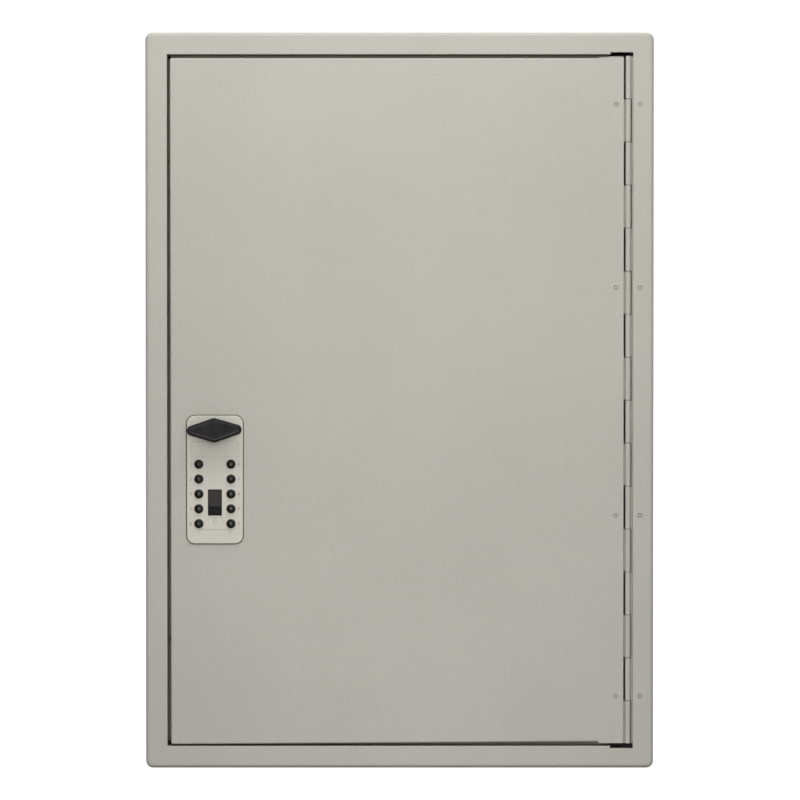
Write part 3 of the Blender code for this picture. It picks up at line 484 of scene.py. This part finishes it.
def build_case():
    """The folded shell with its opening, the lips round it, their hems and the bumpers' tabs."""
    shell = piece("case_body", box(CASE_LOW, CASE_HIGH, CORNER, ROLL))
    inner_x, inner_z = CASE_HIGH.x - SHEET, CASE_HIGH.z - SHEET
    cut(shell, box((-inner_x, BEHIND, -inner_z), (inner_x, -2 * FRONT, inner_z), CORNER - SHEET,
                   ROLL - SHEET))
    cut(shell, box((-LIP_X, FRONT - SHEET, -LIP_Z), (LIP_END_X + SHEET, BEHIND + SHEET, LIP_Z)))
    cut(shell, box((LIP_END_X, FRONT - SHEET, -OPENING_Z), (OPENING_X, BEHIND + SHEET, OPENING_Z)))
    lip_y = (BEHIND - SHEET / 2, FRONT + LIP)
    join(shell, box((-LIP_X - SHEET, lip_y[0], -LIP_Z - SHEET), (-LIP_X, lip_y[1], LIP_Z + SHEET)))
    join(shell, *[box((-LIP_X - SHEET / 2, lip_y[0], low), (LIP_END_X, lip_y[1], low + SHEET))
                  for low in (LIP_Z, -LIP_Z - SHEET)])
    edit(shell, lambda bm: round_edges(bm, lip_folds, FOLD, 8))
    hem_y = (STOP_Y + 0.1 * MM, STOP_Y + SHEET - 0.1 * MM)
    hem_x, hem_z, hem_end = LIP_X - HEM, LIP_Z - HEM, LIP_END_X - SHEET
    join(shell, box((-LIP_X - SHEET / 2, hem_y[0], -hem_z + SHEET), (-hem_x, hem_y[1], hem_z - SHEET)),
         box((-hem_x, hem_y[0], hem_z), (hem_end, hem_y[1], LIP_Z + SHEET / 2)),
         box((-hem_x, hem_y[0], -LIP_Z - SHEET / 2), (hem_end, hem_y[1], -hem_z)))
    heights = (STOP_Z, -STOP_Z)
    join(shell, *[box((-LIP_X - SHEET, STOP_Y, z - STOP_HALF),
                      (BUMPER_X + STOP_REACH, STOP_Y + SHEET, z + STOP_HALF)) for z in heights])
    cut(shell, *[rod(BUMPER_HOLE_R, (BUMPER_X, STOP_Y - SHEET, z), (BUMPER_X, STOP_Y + 2 * SHEET, z))
                 for z in heights])
    cut(shell, *[weld_mark(WELD_FRAME_X, z) for z in WELD_ROWS])
    dress(shell, "case", PAINT, ("case_shell",))


# ---------------------------------------------------------------- door

def bend_off_square(bm):
    """Slopes the pan's foot down, and leans its left side in, towards the lower free corner."""
    band = DOOR_FLANGE / 2
    for vert in bm.verts:
        x, _, z = vert.co
        if z < DOOR_FOOT + band and x < DOOR_FLAT_X:
            vert.co.z -= PAN_DROP * (DOOR_FLAT_X - x) / (DOOR_FLAT_X - DOOR_LOW.x)
        if x < DOOR_LOW.x + band:
            vert.co.x += PAN_DRAW * (DOOR_TOP - z) / (DOOR_TOP - DOOR_FOOT)


def build_door():
    """The bent pan and its flat hinge strip, the lock's cut-out, four studs and the weld marks."""
    def bent_edge(a, b):
        return max(a.y, b.y) < FRONT + 1e-6 and min(a.x, b.x) < DOOR_FLAT_X - 1e-6

    def left_corner(a, b):
        return abs(a.y - b.y) > 1e-6 and max(a.x, b.x) < 0

    pan = box((DOOR_LOW.x, FRONT, DOOR_FOOT), (DOOR_FLAT_X, FRONT + DOOR_FLANGE, DOOR_TOP))
    round_edges(pan, left_corner, DOOR_CORNER)
    round_edges(pan, bent_edge, DOOR_BEND)
    door = piece("door_skin", pan)
    cut(door, box((DOOR_LOW.x + SHEET, BEHIND, DOOR_FOOT + SHEET),
                  (DOOR_HIGH.x, FRONT + 2 * DOOR_FLANGE, DOOR_TOP - SHEET)))
    join(door, box((DOOR_FLAT_X - SHEET, FRONT, -DOOR_HIGH.z), (DOOR_HIGH.x, BEHIND, DOOR_HIGH.z)))
    out_x, out_z = PLATE_X + PLATE_MARGIN, PLATE_Z + PLATE_MARGIN
    cut(door, lock_box((-out_x, out_x), (FRONT - SHEET, BEHIND + SHEET), (-out_z, out_z),
                       PLATE_CORNER + PLATE_MARGIN, segments=10))
    join(door, *[rod(STUD_R, at_lock(x, BEHIND - SHEET / 2, z), at_lock(x, STUD_END, z), 24)
                 for z in (STUD_Z, -STUD_Z) for x in (-STUD_X, STUD_X)])
    cut(door, *[weld_mark(WELD_DOOR_X, z) for z in WELD_ROWS])
    edit(door, bend_off_square)
    dress(door, "door", PAINT, ("door_panel",))


# ---------------------------------------------------------------- hinge

def knuckle_span(index):
    top = HINGE_TOP - index * KNUCKLE
    return top - KNUCKLE, top


def rolled_knuckle(index):
    """A knuckle with softened ends."""
    low, high = knuckle_span(index)
    low, high = low + 0.2 * MM, high - 0.2 * MM
    soft, bow = 0.25 * MM, 0.07 * MM
    stations = [(BARREL_R - soft, low), (BARREL_R - bow, low + bow), (BARREL_R, low + soft),
                (BARREL_R, high - soft), (BARREL_R - bow, high - bow), (BARREL_R - soft, high)]
    angles = [math.tau * side / 36 for side in range(36)]
    return stacked([[(AXIS.x + radius * math.cos(angle), AXIS.y + radius * math.sin(angle), z)
                     for angle in angles] for radius, z in stations])


def along_axis(radius, past_end=0.0):
    return rod(radius, (AXIS.x, AXIS.y, HINGE_BOTTOM - past_end),
               (AXIS.x, AXIS.y, HINGE_TOP + past_end), 24)


def build_leaf(name, node, body, side, own):
    """A leaf on one side of the pin, with its own knuckles and notches for the other leaf's."""
    gap = 0.3 * MM
    leaf_y = (BEHIND + gap, BEHIND + gap + LEAF)
    xs = sorted((AXIS.x, AXIS.x + side * LEAF_WIDTH))
    leaf = piece(name, box((xs[0], leaf_y[0], HINGE_BOTTOM + gap), (xs[1], leaf_y[1], HINGE_TOP - gap)))
    notch_xs = sorted((AXIS.x - side * 2 * BARREL_R, AXIS.x + side * NOTCH_REACH[side]))
    cut(leaf, *[box((notch_xs[0], leaf_y[0] - SHEET, knuckle_span(index)[0] - gap),
                    (notch_xs[1], leaf_y[1] + SHEET, knuckle_span(index)[1] + gap))
                for index in range(KNUCKLES) if index not in own])
    join(leaf, *[rolled_knuckle(index) for index in own])
    cut(leaf, along_axis(BORE_R, KNUCKLE))
    dress(leaf, body, PAINT, (node,))


def build_hinge():
    build_leaf("hinge_frame_leaf_rolled", "hinge_leaf_frame", "case", 1, range(0, KNUCKLES, 2))
    build_leaf("hinge_door_leaf_rolled", "hinge_leaf_door", "door", -1, range(1, KNUCKLES, 2))
    dress(piece("hinge_pin_round", along_axis(PIN_R)), "case", STEEL, ("hinge_pin",))


# ---------------------------------------------------------------- lock front

def button_places():
    """Each digit with its button's x and z from the plate's middle, and its column, 0 or 1."""
    for index, digit in enumerate(DIGITS):
        low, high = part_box(f"button_{digit}")
        centre = (low + high) / 2
        yield digit, centre.x - LOCK.x, centre.z - LOCK.z, index // 5


def raised_text(text, size, place, rise, sink=0.1 * MM):
    """Characters standing out of a face that looks along -Y, centred on a place of that face."""
    curve = bpy.data.curves.new("raised_" + text, "FONT")
    curve.body = text
    curve.size = size
    curve.align_x = "CENTER"
    curve.align_y = "CENTER"
    soft = 0.05 * MM
    curve.extrude = (rise + sink) / 2 - soft
    curve.bevel_depth, curve.bevel_resolution, curve.offset = soft, 1, -0.04 * MM
    curve.resolution_u = 3
    obj = bpy.data.objects.new("raised_text", curve)
    bpy.context.scene.collection.objects.link(obj)
    middle = Matrix.Translation(Vector(place) - Vector((0, (rise - sink) / 2, 0)))
    obj.matrix_world = middle @ Matrix.Rotation(math.pi / 2, 4, "X")
    bpy.context.view_layer.update()
    depsgraph = bpy.context.evaluated_depsgraph_get()
    mesh = bpy.data.meshes.new_from_object(obj.evaluated_get(depsgraph))
    mesh.transform(obj.matrix_world)
    bpy.data.objects.remove(obj)
    bpy.data.curves.remove(curve)
    bm = bmesh.new()
    bm.from_mesh(mesh)
    bpy.data.meshes.remove(mesh)
    bmesh.ops.remove_doubles(bm, verts=bm.verts, dist=1e-6)
    return bm


def tray(x, z, depth=0.22 * MM, slope=0.22 * MM, corner=0.8 * MM):
    """A cutter for a shallow field of the face plate with sloped sides; x and z are its spans."""
    middle_x, middle_z = (x[0] + x[1]) / 2, (z[0] + z[1]) / 2
    rings = []
    for y, grow in ((-depth, slope), (depth, -slope)):
        radius, ring = corner + grow, []
        straight_x, straight_z = (x[1] - x[0]) / 2 + grow - radius, (z[1] - z[0]) / 2 + grow - radius
        for quarter, (side_x, side_z) in enumerate(((1, 1), (-1, 1), (-1, -1), (1, -1))):
            for step in range(6):
                turn = math.pi / 2 * (quarter + step / 5)
                ring.append(at_lock(middle_x + side_x * straight_x + radius * math.cos(turn),
                                    PLATE_FRONT + y,
                                    middle_z + side_z * straight_z + radius * math.sin(turn)))
        rings.append(ring)
    return stacked(rings)


def build_faceplate():
    """The rounded plate with its holes, blank label fields and a raised digit beside each button."""
    plate = piece("lock_face", lock_box((-PLATE_X, PLATE_X), (PLATE_FRONT, PLATE_BACK),
                                        (-PLATE_Z, PLATE_Z), PLATE_CORNER, 0.6 * MM))
    cut(plate, *[rod(BUTTON_HOLE_R, at_lock(x, PLATE_BACK + MM, z), at_lock(x, PLATE_FRONT - MM, z), 40)
                 for _, x, z, _ in button_places()])
    cut(plate, lock_box((-WINDOW_X, WINDOW_X), (PLATE_FRONT - MM, PLATE_BACK + MM),
                        (WINDOW_BOTTOM, WINDOW_TOP), 0.4 * MM, segments=4))
    knob_z = KNOB.z - LOCK.z
    cut(plate, rod(SPINDLE_HOLE_R, at_lock(0, PLATE_BACK + MM, knob_z),
                   at_lock(0, PLATE_FRONT - MM, knob_z), 40))
    # blank label fields below the knob, under the window and at the foot of the plate
    cut(plate, tray((-16.7 * MM, 16.9 * MM), (15.8 * MM, 27.4 * MM)),
        tray((-5.4 * MM, 5.4 * MM), (-32.4 * MM, -26.9 * MM)),
        tray((-11.0 * MM, 11.0 * MM), (-40.4 * MM, -35.4 * MM)))
    dress(plate, "door", PLATE_PAINT, ("lock_faceplate",), 30)
    size, beside, rise = 3.0 * MM, (-5.6 * MM, 5.6 * MM), 0.22 * MM
    marks = [raised_text(digit, size, at_lock(x + beside[column], PLATE_FRONT, z), rise)
             for digit, x, z, column in button_places()]
    dress(piece("plate_digits", merged(marks)), "door", PLATE_PAINT, sharp=40)


def build_arrow():
    """A raised arrow under the clear slide's window that points the way it is pulled."""
    tip, top, half, stem = -31.8 * MM, -27.6 * MM, 1.7 * MM, 0.6 * MM
    neck = tip + 1.9 * MM
    outline = [(0, tip), (half, neck), (stem, neck), (stem, top), (-stem, top), (-stem, neck),
               (-half, neck)]
    rings = [[at_lock(x, y, z) for x, z in outline] for y in (PLATE_FRONT + 0.4 * MM, PLATE_FRONT)]
    dress(piece("pull_arrow", stacked(rings)), "door", PLATE_PAINT)


def build_buttons():
    """Domed caps with a flange behind the plate and a stem, and a digit on each."""
    dome, flange_r, flange, stem_r, stem_end = 1.0 * MM, 3.9 * MM, -2.5 * MM, 1.5 * MM, -12.2 * MM
    angles = [math.pi / 2 * step / 8 for step in range(9)]
    profile = [(BUTTON_R * math.sin(angle), BUTTON_RISE - dome * (1 - math.cos(angle)))
               for angle in angles]
    profile += [(BUTTON_R, flange), (flange_r, flange), (flange_r, flange - MM), (stem_r, flange - MM),
                (stem_r, stem_end), (0, stem_end)]
    size, rise, sink = 2.5 * MM, 0.18 * MM, 0.15 * MM
    for digit, x, z, _ in button_places():
        cap = piece(f"button_cap_{digit}", lathe(profile, at_lock(x, PLATE_FRONT, z), 40))
        body = f"key_{digit}"
        dress(cap, body, BUTTON_BLACK, (f"button_{digit}",), 50)
        top = at_lock(x, PLATE_FRONT - BUTTON_RISE + 0.1 * MM, z)
        mark = piece(f"button_digit_{digit}", raised_text(digit, size, top, rise, sink))
        # the digit's pale colour is also the dome's painted highlight
        dress(mark, body, DIGIT_AND_HIGHLIGHT, sharp=40)


def build_slide():
    """The ribbed clear slide in its window, on the plate that carries it, coloured black as painted shade
    for the recess below the pad.
    """
    front, carrier_front, carrier_back = SLIDE_LOW.y, -81.7 * MM, -80.9 * MM
    carrier = piece("clear_slide_plate", lock_box(
        (-7.0 * MM, 7.0 * MM), (carrier_front, carrier_back), (-27.4 * MM, -1.0 * MM)))
    join(carrier, lock_box((-2.2 * MM, 2.2 * MM), (-81.3 * MM, SLIDE_HIGH.y), (-27.2 * MM, -25.6 * MM)))
    # the carrier's black is painted shade for the recess in the window's lower part
    dress(carrier, "clear", BLACK, ("clear_slide",), 30)
    pad = piece("clear_slide_pad", lock_box((-4.65 * MM, 4.65 * MM), (front + 0.3 * MM, carrier_front),
                                            (-19.25 * MM, -7.3 * MM), 0.3 * MM, 0.15 * MM, 3))
    ribs, first, pitch, rib = 8, -8.3 * MM, 1.35 * MM, 0.8 * MM
    tops = [first - pitch * index for index in range(ribs)]
    join(pad, *[lock_box((-4.3 * MM, 4.3 * MM), (front, front + 0.6 * MM), (top - rib, top),
                         front=0.12 * MM, segments=2) for top in tops])
    dress(pad, "clear", SLIDE_GREY, sharp=30)


def lozenge(length, width, end_r, apex_r, steps=96):
    """The outline round two end discs and two apex discs."""
    end, apex = length / 2 - end_r, width / 2 - apex_r
    discs = [(Vector((side * end, 0)), end_r) for side in (1, -1)]
    discs += [(Vector((0, side * apex)), apex_r) for side in (1, -1)]
    outline = []
    for step in range(steps):
        angle = math.tau * (step + 0.5) / steps
        way = Vector((math.cos(angle), math.sin(angle)))
        centre, radius = max(discs, key=lambda disc: disc[0].dot(way) + disc[1])
        outline.append(centre + radius * way)
    return outline


def build_knob():
    """A lozenge with a sloped border, a thin raised ridge round its face and a round hub behind."""
    length, width, end_r, apex_r = 38.9 * MM, 17.2 * MM, 3.6 * MM, 5.0 * MM
    tilt = Matrix.Rotation(math.radians(1.4), 2)
    front, thickness = KNOB_LOW.y, 6.5 * MM
    # inset of the outline and depth behind the front plane in mm, from the back to the face
    stations = [(0.5, 6.5), (0.15, 6.3), (0.0, 5.8), (0.0, 2.4), (0.12, 2.0), (0.45, 1.5), (1.15, 0.55),
                (1.45, 0.2), (1.6, 0.05), (1.75, 0.0), (1.95, 0.0), (2.1, 0.1), (2.3, 0.5), (2.45, 0.75),
                (2.6, 0.8), (2.8, 0.72), (3.0, 0.6)]
    rings = []
    for inset, depth in [(inset * MM, depth * MM) for inset, depth in stations]:
        outline = lozenge(length - 2 * inset, width - 2 * inset, max(end_r - inset, 0.7 * MM),
                          max(apex_r - inset, 1.5 * MM))
        tilted = [tilt @ point for point in outline]
        rings.append([Vector((KNOB.x + point.x, front + depth, KNOB.z + point.y)) for point in tilted])
    knob = piece("open_knob_moulded", stacked(rings))
    hub_r, z = 7.0 * MM, KNOB.z - LOCK.z
    join(knob, rod(hub_r, at_lock(0, KNOB_HIGH.y, z), at_lock(0, front + thickness - MM, z), 48))
    dress(knob, "knob", KNOB_BLACK, ("open_knob",), 32)


# ---------------------------------------------------------------- inside

def softened(node, radius, material, body, name):
    """The node's shape with its edges eased, as a stamping or a casting leaves its tool."""
    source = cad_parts[node]
    obj = bpy.data.objects.new(name, source.data.copy())
    bpy.context.scene.collection.objects.link(obj)
    obj.matrix_world = source.matrix_world.copy()
    edit(obj, lambda bm: bmesh.ops.dissolve_limit(bm, angle_limit=math.radians(0.5), verts=bm.verts,
                                                  edges=bm.edges))
    ease = obj.modifiers.new("eased_edges", "BEVEL")
    ease.width, ease.segments, ease.limit_method = radius, 2, "ANGLE"
    ease.angle_limit, ease.use_clamp_overlap = math.radians(40), True
    apply_modifiers(obj)
    dress(obj, body, material, (node,), 30)


def build_rails():
    """The hook rails, each with a printed number over every hook."""
    size, below_top, print_rise = 5.0 * MM, 4.6 * MM, 0.15 * MM
    for rail in range(RAILS):
        node = f"hook_rail_{rail + 1:02d}"
        softened(node, 0.18 * MM, ZINC, "case", f"rail_stamping_{rail + 1:02d}")
        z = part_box(node)[1].z - below_top
        numbers = []
        for hook in range(HOOKS):
            place = ((hook - (HOOKS - 1) / 2) * HOOK_PITCH, RAIL_FACE, z)
            numbers.append(raised_text(str(rail * HOOKS + hook + 1), size, place, print_rise))
        dress(piece(f"rail_numbers_{rail + 1:02d}", merged(numbers)), "case", INK)


def build_bumpers():
    """Domed buttons with a neck through the tab and a barb behind it."""
    head, neck, barb = 4.0 * MM, 1.5 * MM, 2.5 * MM
    profile = [(0, 1.7 * MM), (2.6 * MM, 1.68 * MM), (3.4 * MM, 1.5 * MM), (3.85 * MM, 1.1 * MM),
               (head, 0.7 * MM), (head, 0.3 * MM), (neck, 0.3 * MM), (neck, -1.3 * MM), (barb, -1.3 * MM),
               (2.3 * MM, -1.7 * MM), (neck, -2.8 * MM), (0, -2.8 * MM)]
    for place, z in (("top", STOP_Z), ("bottom", -STOP_Z)):
        bumper = piece(f"bumper_moulding_{place}", lathe(profile, (BUMPER_X, STOP_Y, z), 40))
        dress(bumper, "case", RUBBER, (f"door_bumper_{place}",), 45)


def build_screws():
    """Cross-slotted pan-head screws in the lock's cover, whose heads look into the case."""
    shank, head, height, rim, crown = 1.2 * MM, 2.6 * MM, 1.6 * MM, 0.7 * MM, 0.9 * MM
    for index in range(4):
        node = f"cover_screw_{index + 1}"
        low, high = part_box(node)
        x, z, seat = (low.x + high.x) / 2, (low.z + high.z) / 2, high.y - height
        tip = seat - low.y
        profile = [(0, tip), (shank - 0.3 * MM, tip), (shank, tip - 0.4 * MM), (shank, 0),
                   (head - 0.05 * MM, 0), (head, -0.1 * MM), (head, -rim)]
        angles = [math.pi / 2 * step / 6 for step in range(1, 7)]
        profile += [(head - crown + crown * math.cos(angle), -rim - crown * math.sin(angle))
                    for angle in angles]
        screw = piece(f"pan_head_{index + 1}", lathe(profile + [(0, -height)], (x, seat, z), 32))
        place = Matrix.Translation((x, high.y, z)) @ Matrix.Rotation(0.3 + 1.1 * index, 4, "Y")
        for half in (Vector((1.5, 1.0, 0.3)) * MM, Vector((0.3, 1.0, 1.5)) * MM):
            slot = box(-half, half)
            bmesh.ops.transform(slot, matrix=place, verts=slot.verts)
            cut(screw, slot)
        dress(screw, "door", STEEL, (node,), 35)


def build_nuts():
    """Hexagon nuts whose corners are turned off at both ends."""
    chamfer, outside, past, bore_r = 0.5 * MM, 0.3 * MM, 0.01 * MM, 2.2 * MM
    for index in range(4):
        node = f"lock_nut_{index + 1}"
        low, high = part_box(node)
        x, z, depth = (low.x + high.x) / 2, (low.z + high.z) / 2, low.y - high.y
        corner_r = max(high.x - low.x, high.z - low.z) / 2
        nut = piece(f"hex_nut_{index + 1}", rod(corner_r, (x, low.y, z), (x, high.y, z), 6))
        turned = [(0, depth), (corner_r - chamfer, depth - past), (corner_r + outside, depth + chamfer),
                  (corner_r + outside, -chamfer), (corner_r - chamfer, past), (0, past)]
        boolean(nut, "INTERSECT", lathe(turned, (x, low.y, z), 48))
        cut(nut, rod(bore_r, (x, low.y - MM, z), (x, high.y + MM, z), 24))
        dress(nut, "door", STEEL, (node,), 30)


def wound_spring(name, node, fixed, reach, radius, turns):
    """A wire wound from its fixed end along reach, with closed end turns."""
    closed, closed_pitch, steps, sides = 0.8, 0.42 * MM, 20, 8
    length, along = reach.length, reach.normalized()
    across = along.orthogonal().normalized()
    beside = along.cross(across)
    pitch = (length - 2 * WIRE_R - 2 * closed * closed_pitch) / (turns - 2 * closed)
    around = [math.tau * side / sides for side in range(sides)]
    rings = []
    for step in range(turns * steps + 1):
        turned = step / steps
        open_turns = min(max(turned - closed, 0), turns - 2 * closed)
        centre = fixed + along * (WIRE_R + pitch * open_turns + closed_pitch * (turned - open_turns))
        outward = across * math.cos(math.tau * turned) + beside * math.sin(math.tau * turned)
        rings.append([centre + outward * (radius + WIRE_R * math.cos(angle))
                      + along * WIRE_R * math.sin(angle) for angle in around])
    spring = dress(piece(name, stacked(rings)), "door", STEEL, (node,), 60)
    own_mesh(spring)


def build_springs():
    button_coil_r, button_travel, clear_travel = 2.25 * MM, 2.0 * MM, 6.0 * MM
    for digit in DIGITS:
        node = f"button_spring_{digit}"
        low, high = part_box(node)
        middle = (low + high) / 2
        wound_spring(f"button_coil_{digit}", node,
                     Vector((middle.x, high.y, middle.z)), Vector((0, low.y - high.y, 0)),
                     button_coil_r, 4)
    low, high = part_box("clear_spring")
    middle = (low + high) / 2
    wound_spring("clear_coil", "clear_spring", Vector((middle.x, middle.y, low.z)),
                 Vector((0, 0, high.z - low.z)), (high.x - low.x) / 2 - WIRE_R, 9)


def build_inside():
    """The pieces behind the door: eased copies of the CAD's stampings, and small parts built anew."""
    softened("back_panel", 0.3 * MM, PAINT, "case", "back_tray")
    softened("strike_bracket", 0.2 * MM, ZINC, "case", "strike_stamping")
    softened("lock_housing", 0.25 * MM, CAST, "door", "lock_casting")
    softened("lock_rear_cover", 0.2 * MM, ZINC, "door", "lock_cover_stamping")
    softened("latch_bolt", 0.25 * MM, STEEL, "bolt", "bolt_bar")
    build_rails()
    build_bumpers()
    build_screws()
    build_nuts()
    build_springs()


# ---------------------------------------------------------------- CAD nodes that stay

def dress_nodes():
    """The knob's spindle and its clip are shown as the CAD has them."""
    for name in ("knob_spindle", "knob_retainer"):
        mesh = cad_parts[name].data
        mesh.materials.clear()
        mesh.materials.append(STEEL)
        mesh.shade_smooth()
        mesh.set_sharp_from_angle(angle=math.radians(35))


# ---------------------------------------------------------------- studio

def soft_box(name, place, target, size, power):
    light = bpy.data.lights.new(name, "AREA")
    light.shape = "RECTANGLE"
    light.size, light.size_y = size
    light.energy = power
    obj = bpy.data.objects.new(name, light)
    obj.location = place
    obj.rotation_euler = (Vector(target) - Vector(place)).to_track_quat("-Z", "Y").to_euler()
    obj.visible_camera = False
    bpy.context.scene.collection.objects.link(obj)


def build_world():
    """A dim surround that is a little lighter overhead."""
    world = bpy.data.worlds.new("studio")
    world.use_nodes = True
    nodes, links = world.node_tree.nodes, world.node_tree.links
    direction = nodes.new("ShaderNodeTexCoord")
    split = nodes.new("ShaderNodeSeparateXYZ")
    ramp = nodes.new("ShaderNodeMapRange")
    for name, value in (("From Min", -0.2), ("From Max", 1.0), ("To Min", 0.22), ("To Max", 0.6)):
        ramp.inputs[name].default_value = value
    links.new(direction.outputs["Generated"], split.inputs["Vector"])
    links.new(split.outputs["Z"], ramp.inputs["Value"])
    links.new(ramp.outputs["Result"], nodes["Background"].inputs["Strength"])
    nodes["Background"].inputs["Color"].default_value = (1, 1, 1, 1)
    bpy.context.scene.world = world


def build_sweep():
    """A wide white floor with a white wall all round, which the camera sees but which sheds no light."""
    material = bpy.data.materials.new("studio_white")
    material.use_nodes = True
    shader = material.node_tree.nodes["Principled BSDF"]
    shader.inputs["Base Color"].default_value = (0.5, 0.5, 0.5, 1)
    shader.inputs["Roughness"].default_value = 0.9
    shader.inputs["Emission Color"].default_value = (1, 1, 1, 1)
    shader.inputs["Emission Strength"].default_value = 0.97
    bm = bmesh.new()
    radius, height = 14.0, 12.0
    bmesh.ops.create_cone(bm, cap_ends=True, segments=64, radius1=radius, radius2=radius, depth=height)
    bmesh.ops.translate(bm, vec=(0, 0, height / 2 + CASE_LOW.z - 0.5 * MM), verts=bm.verts)
    ceiling = [face for face in bm.faces if face.normal.z > 0.9]
    bmesh.ops.delete(bm, geom=ceiling, context="FACES")
    sweep = piece("studio_sweep", bm)
    sweep.data.materials.append(material)
    sweep.visible_diffuse = False
    sweep.visible_glossy = False


def build_camera():
    distance, frame_width = 2.7, 0.5696     # frame_width is what the picture spans at the front face
    camera = bpy.data.cameras.new("camera")
    camera.sensor_width = 36
    camera.lens = 36 * distance / frame_width
    camera.clip_end = 100
    obj = bpy.data.objects.new("camera", camera)
    target = Vector((0.32 * MM, FRONT, 0.5 * MM))
    obj.location = target + Vector((0, -distance, 0.045))
    obj.rotation_euler = (target - obj.location).to_track_quat("-Z", "Y").to_euler()
    bpy.context.scene.collection.objects.link(obj)
    bpy.context.scene.camera = obj


def build_studio():
    build_world()
    build_sweep()
    build_camera()
    soft_box("front_light", (0.0, -3.3, 0.5), (0, FRONT, 0), (1.8, 1.0), 18.5)
    soft_box("strip_light", (0.0, FRONT - 0.5, 0.03), (0, FRONT, 0.03), (0.12, 1.4), 1.32)
    soft_box("top_light", (0.0, FRONT - 0.45, 0.95), (0, FRONT, 0.1), (1.0, 0.3), 5.0)
    soft_box("rear_fill", (-1.3, 3.2, 1.0), (0, 0, 0), (2.0, 1.6), 38)
    bpy.context.scene.view_settings.view_transform = "Standard"


dress_nodes()
build_case()
build_door()
build_hinge()
build_faceplate()
build_arrow()
build_buttons()
build_slide()
build_knob()
build_inside()
build_studio()
